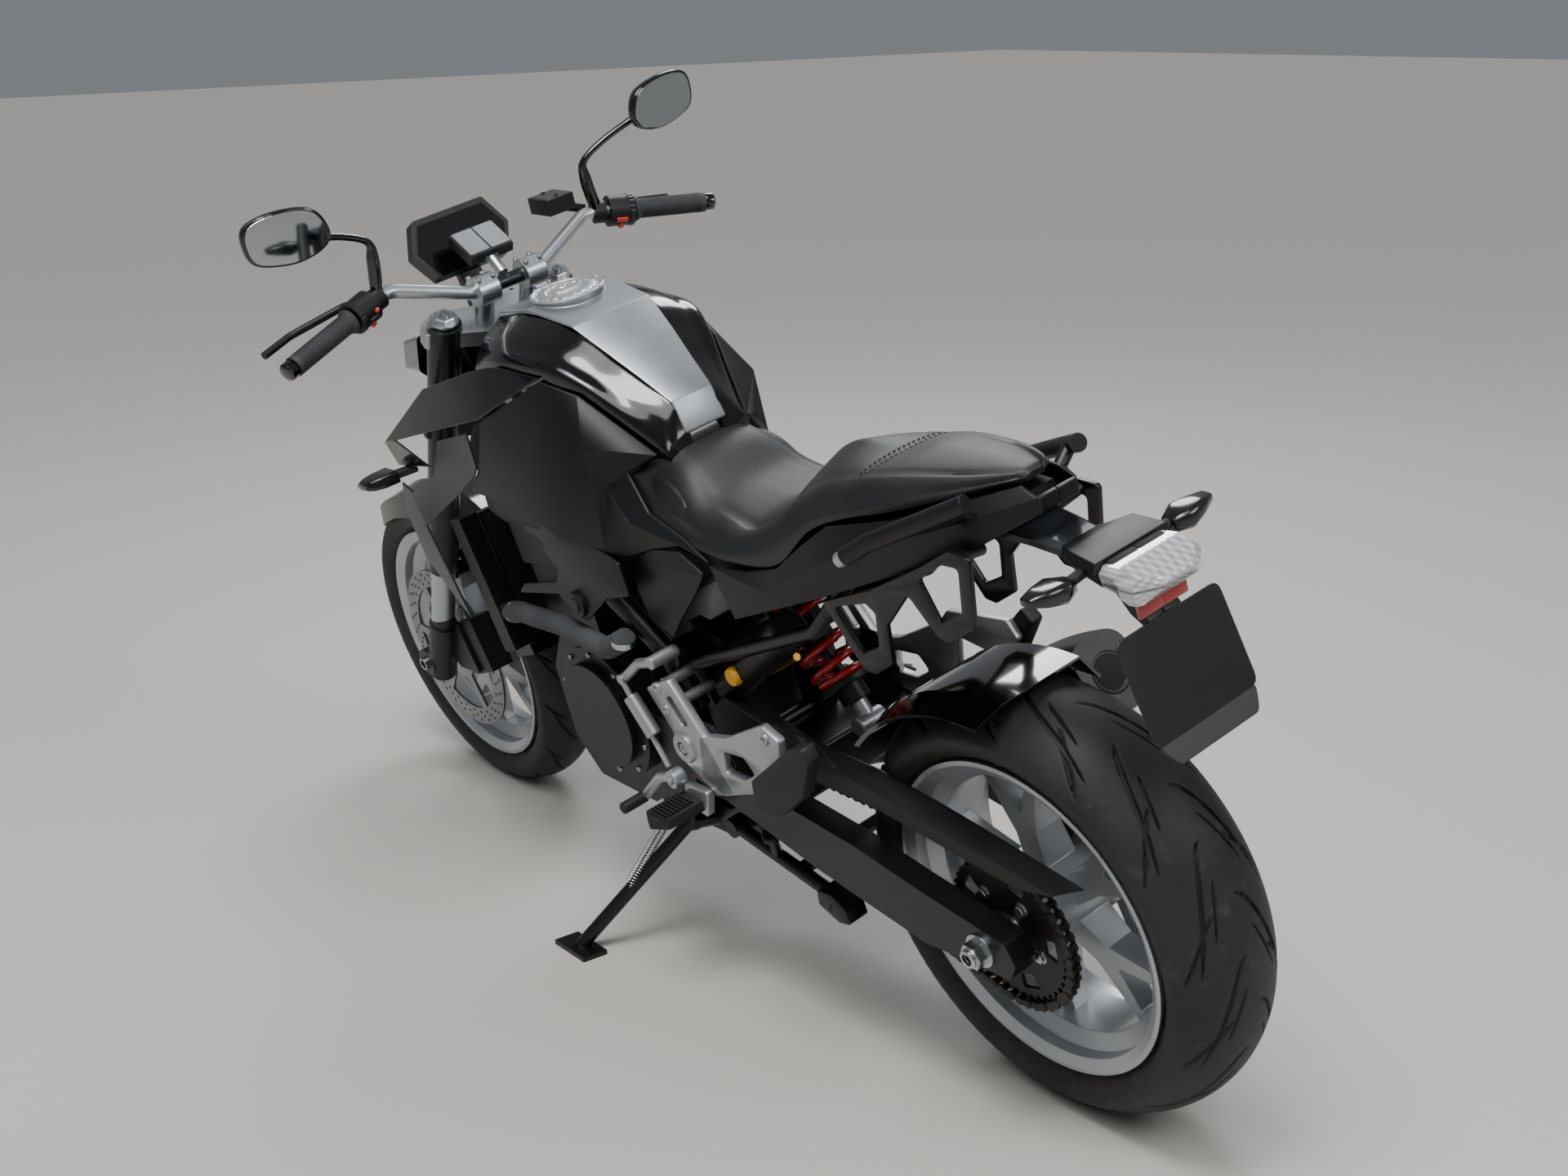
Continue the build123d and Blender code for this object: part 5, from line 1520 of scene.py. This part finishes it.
# the caps: turned collar, six-sided cap and turned adjuster; the riser screws' places ahead and aside
fork = {
    "half": 107.0, "top": 836.0, "lead": 14.5,
    "capParts": [
        (36, [(-2, 22.5), (3, 22.5), (4.5, 21), (4.5, 17.5)]), (6, [(2, 17.5), (10, 17.5), (11.5, 15.5)]),
        (24, [(9, 7.5), (15, 7.5), (16.5, 6.5), (16.5, 2.5), (14, 2.4)]),
    ],
    "riserScrews": [(1058 + ahead, aside, 1073) for ahead in (-16, 16) for aside in (-57, -31, 31, 57)],
    "riserScrewRadius": 4.2,
}
# the display's and the pad's flat panels: outline, lift, thickness, finish and places aside
front = {
    "display": {"centre": (1195.0, 0.0, 1100.0), "face": (-0.894, 0.0, 0.447), "panels": {
        "displayGlass": (
            [(-82, 0), (-61, 42), (61, 42), (82, 0), (61, -46), (-61, -46)], 26.0, 1.4, "screenBlack", (0.0,),
        ),
    }},
    "pad": {"centre": (1112.0, 0.0, 1108.0), "face": (-0.5, 0.0, 0.866), "panels": {
        "padBack": (roundRect(79, 62, 5), 8.0, 2.6, "rubberBlack", (0.0,)),
        "padPale": (roundRect(36, 56, 3), 10.4, 1.6, "phoneGrey", (-19.5, 19.5)),
    }},
}
radiator = {
    "low": (1080.0, 0.0, 466.0), "high": (1142.0, 0.0, 686.0), "halfWidth": 126.0, "depths": (18.6, 17.9),
    "rows": (104.0, 1.2, 36), "columns": (124.0, 1.6, 84), "halfHeight": 107.0,
}


# a point beside the fork: up it from the axle, and to the left
def onFork(along, aside):
    foot = np.array((stance["wheelbase"], aside, stance["frontRadius"])) - fork["lead"] * aheadFork
    return foot + upFork * along


# flat bars across a box: count thin plates spread along one direction
def fins(centre, along, wide, deep, spread, thickness, count):
    along, wide, deep = (np.array(v, float) for v in (along, wide, deep))
    signs = np.array([(-1, -1), (1, -1), (1, 1), (-1, 1)], float)
    ring = signs[:, :1] * wide + signs[:, 1:] * deep
    places = np.array(centre) + np.linspace(-spread, spread, count)[:, None] * along
    levels = np.array((-0.5, 0.5))[:, None, None] * thickness * along
    rings = places[:, None, None] + levels + ring
    return manyGrids(rings)


# fins across the core and tubes up it
def buildRadiatorFins():
    low, high = np.array(radiator["low"]), np.array(radiator["high"])
    up = unit(high - low)
    aside = np.array((0.0, 1.0, 0.0))
    ahead = np.cross(up, aside)
    finDepth, tubeDepth = radiator["depths"]
    middle = (low + high) / 2
    made = fins(middle, up, aside * radiator["halfWidth"], ahead * finDepth, *radiator["rows"])
    made += fins(middle, aside, up * radiator["halfHeight"], ahead * tubeDepth, *radiator["columns"])
    piece("radiatorFins", made, "castBlack")


def buildFront():
    for holder in front.values():
        face = unit(holder["face"])
        up = upward(unit(np.cross(face, (0.0, 1.0, 0.0))))
        for name, (shape, lift, thick, finish, asides) in holder["panels"].items():
            start = np.array(holder["centre"]) + face * lift
            made = [
                plate(shape, thick, start + (0, aside, 0), np.cross(up, face), up, 0.5) for aside in asides
            ]
            piece(name, made, finish, "steering")


# six-sided caps on the fork with a collar below and an adjuster above, and clamp screws on the risers
def buildForkCaps():
    made = []
    for side in (1, -1):
        top = onFork(fork["top"], fork["half"] * side)
        made += [lathe(profile, top, upFork, steps) for steps, profile in fork["capParts"]]
    made += [socketBolt(spot, (0.0, 0.0, 1.0), fork["riserScrewRadius"]) for spot in fork["riserScrews"]]
    piece("forkCaps", made, "barSilver", "steering", 30.0)


standSpring = {
    "start": (726.0, 140.0, 262.0), "end": (752.0, 240.0, 163.0), "apart": 6.5, "radius": 4.6, "wire": 1.1,
    "turns": 30, "steps": 420, "hook": 0.06,
}


# close coils beside the stand's leg, with a straight hook at each end
def buildStandSprings():
    start, end = np.array(standSpring["start"]), np.array(standSpring["end"])
    line = unit(end - start)
    t = np.linspace(0, 1, standSpring["steps"])
    along = np.linalg.norm(end - start) * t
    reach = np.clip(np.minimum(t, 1 - t) / standSpring["hook"], 0, 1) * standSpring["radius"]
    shift = standSpring["apart"] * square(line)[0]
    made = []
    for place in (start - shift, start + shift):
        made.append(coil(place, line, along, reach, standSpring["turns"], standSpring["wire"], 6))
    piece("standSprings", made, "brightSteel", "side_stand")


# ribbed pads on the rider's pegs
def buildPegPads():
    made = fins((575, 226, 367.2), (0.0, 1.0, 0.0), (21.0, 0.0, 0.0), (0.0, 0.0, 2.0), 26.0, 3.4, 9)
    piece("pegPads", bothSides(made), "rubberBlack")


bands = {
    "band": [(-5, 17.1), (-5, 18.6), (5, 18.6), (5, 17.1)],
    "places": [((1046, 153, 538), (-0.91, 0.22, 0.34)), ((674, 175.6, 596), (-0.3, 0.0, 1.0))],
    "nut": [(0, 13.5), (7, 13.5), (8.5, 12), (8.5, 8.6), (0, 8.6)], "nutY": 174.0,
    "adjuster": (-52.0, 138.0, 315.0), "adjusterRadius": 6.5,
}


# bands round the hose, and the rear axle's nuts with the chain adjusters' bolts
def buildBands():
    made = [lathe(bands["band"], place, way, 40, closed=True) for place, way in bands["places"]]
    piece("hoseBands", made, "brightSteel")
    x, y, z = bands["adjuster"]
    made = []
    for side in (1, -1):
        made.append(lathe(bands["nut"], (0.0, bands["nutY"] * side, z), (0.0, side, 0.0), 28, closed=True))
        made += hexBolt((x, y * side, z), (-1.0, 0.0, 0.0), bands["adjusterRadius"])
    piece("axleTrim", made, "brightSteel")


buildRadiatorFins()
buildFront()
buildForkCaps()
buildStandSprings()
buildPegPads()
buildBands()
print("small fittings made")

# the finish that each node's own material gets; nodes with zones follow
nodeFinish = {
    "frameBlack": "main_frame rear_subframe luggage_brackets swingarm side_stand centre_stand",
    "castBlack": "engine_block engine_covers grab_handles rear_caliper shock_absorber front_calipers",
    "matteBlack": "radiator side_panels tail_panels tail_carrier hand_controls",
    "glossBlack": "hugger front_mudguard mirrors",
    "flakeBlack": "fuel_tank tank_shrouds",
    "panelGrey": "radiator_panels",
    "silverPaint": "tank_centre_panel",
    "rubberBlack": "seat front_tyre rear_tyre",
    "rubberGrey": "grips",
    "hoseGrey": "coolant_hose",
    "lensClear": "tail_light",
    "lensSmoked": "indicators",
    "plateBlack": "licence_plate",
    "brightSteel": "rear_axle front_axle",
    "darkSteel": "drive_chain rear_sprocket",
    "discSteel": "front_discs rear_disc",
    "castSilver": "footrests foot_controls",
    "wheelSilver": "front_rim rear_rim",
    "springRed": "shock_spring",
    "capPale": "fuel_cap",
}
zonedNodes = {
    "handlebar": ("barSilver", [("tubeGrey", (1030, -25.5, 1030), (1090, 25.5, 1080))]),
    "triple_clamps": ("castSilver", [("castBlack", (0, -300, 0), (2000, 300, 900))]),
    "fork_tubes": ("tubeGrey", [("castSilver", (0, -300, 1016), (2000, 300, 1200))]),
    "fork_legs": ("castBlack", [("barSilver", (0, -129, 405), (2000, 129, 1200))]),
    "exhaust": ("castBlack", [("darkSteel", (690, -300, 100), (1200, 300, 800))]),
    "headlight": ("glossBlack", [("lensClear", (1318, -300, 0), (1400, 300, 2000))]),
    "instruments": ("matteBlack", [("barSilver", (1040, -12, 1040), (1098, 12, 1092))]),
}
# a node with zones always gets a painted highlight on its edges, and its clear coat is smoother
zonedLook = dict(edge=0.0015, edgeHighlightShare=0.4, edgeHighlightTone="#6a6d71", coatRoughness=0.03)
nodeMaterials = {node: finishes[finish] for finish, names in nodeFinish.items() for node in names.split()}
for node, (base, zones) in zonedNodes.items():
    nodeMaterials[node] = painted(node + "Finish", {**zonedLook, **looks[base], "specular": 0.5}, zones)
for node, material in nodeMaterials.items():
    nodes[node].data.materials.clear()
    nodes[node].data.materials.append(material)
print("solids finished")

# the floor, the lights and the camera
studio = {
    "floorHalf": 30.0,
    "floorColour": "#b9b6b0",
    "lights": [
        ("keyLight", (-1.0, 1.4, 4.4), (0.2, 0.0, 0.5), 1.6, 120.0),
        ("fillLight", (-3.8, -1.4, 3.2), (0.0, 0.0, 0.6), 2.0, 60.0),
        ("rimLight", (2.2, -2.4, 3.6), (0.0, 0.0, 0.6), 1.8, 80.0),
    ],
    "skyAngle": 50.0,  # degrees across
    "skyStrength": 2.1,
    "skyFrom": (-0.35, 0.45, 1.0),
    "world": (0.33, 0.345, 0.37, 1.0),
    "worldStrength": 0.6,
    "cameraFromHub": (-1.6604, 1.7530),  # ahead and to the left of the rear hub
    "cameraHeight": 1.461,
    "yaw": -37.911,
    "pitch": -16.927,
    "roll": -1.158,
    "lens": 45.53,
}


def buildStage():
    half = studio["floorHalf"]
    mesh = bpy.data.meshes.new("floor")
    mesh.from_pydata(
        [(-half, -half, 0), (half, -half, 0), (half, half, 0), (-half, half, 0)], [], [(0, 1, 2, 3)],
    )
    floor = bpy.data.objects.new("floor", mesh)
    bpy.context.scene.collection.objects.link(floor)
    finish = Finish("floorPale")
    finish.set("Base Color", studio["floorColour"])
    finish.set("Roughness", 0.55)
    mesh.materials.append(finish.material)
    for name, place, aim, size, power in studio["lights"]:
        light = bpy.data.lights.new(name, "AREA")
        light.shape = "DISK"
        light.size = size
        light.energy = power
        lamp = bpy.data.objects.new(name, light)
        lamp.location = place
        lamp.rotation_euler = (Vector(aim) - Vector(place)).to_track_quat("-Z", "Y").to_euler()
        bpy.context.scene.collection.objects.link(lamp)
    sky = bpy.data.lights.new("skyLight", "SUN")
    sky.angle = math.radians(studio["skyAngle"])
    sky.energy = studio["skyStrength"]
    lamp = bpy.data.objects.new("skyLight", sky)
    lamp.rotation_euler = Vector(studio["skyFrom"]).to_track_quat("Z", "Y").to_euler()
    bpy.context.scene.collection.objects.link(lamp)
    world = bpy.data.worlds.new("studio")
    world.use_nodes = True
    world.node_tree.nodes["Background"].inputs[0].default_value = studio["world"]
    world.node_tree.nodes["Background"].inputs[1].default_value = studio["worldStrength"]
    bpy.context.scene.world = world


def buildCamera():
    yaw, pitch, roll = (math.radians(studio[name]) for name in ("yaw", "pitch", "roll"))
    forward = Vector((math.cos(pitch) * math.cos(yaw), math.cos(pitch) * math.sin(yaw), math.sin(pitch)))
    level = Vector((math.sin(yaw), -math.cos(yaw), 0.0))
    upright = level.cross(forward)
    right = level * math.cos(roll) + upright * math.sin(roll)
    top = upright * math.cos(roll) - level * math.sin(roll)
    data = bpy.data.cameras.new("camera")
    data.lens = studio["lens"]
    data.clip_end = 200.0
    camera = bpy.data.objects.new("camera", data)
    ahead, aside = studio["cameraFromHub"]
    camera.location = (rearHub[0] + ahead, rearHub[1] + aside, studio["cameraHeight"])
    axes = Vector(right), Vector(top), -forward
    camera.rotation_mode = "QUATERNION"
    camera.rotation_quaternion = Matrix(axes).transposed().to_quaternion()
    bpy.context.scene.collection.objects.link(camera)
    bpy.context.scene.camera = camera


buildStage()
buildCamera()
print("stage and camera set")
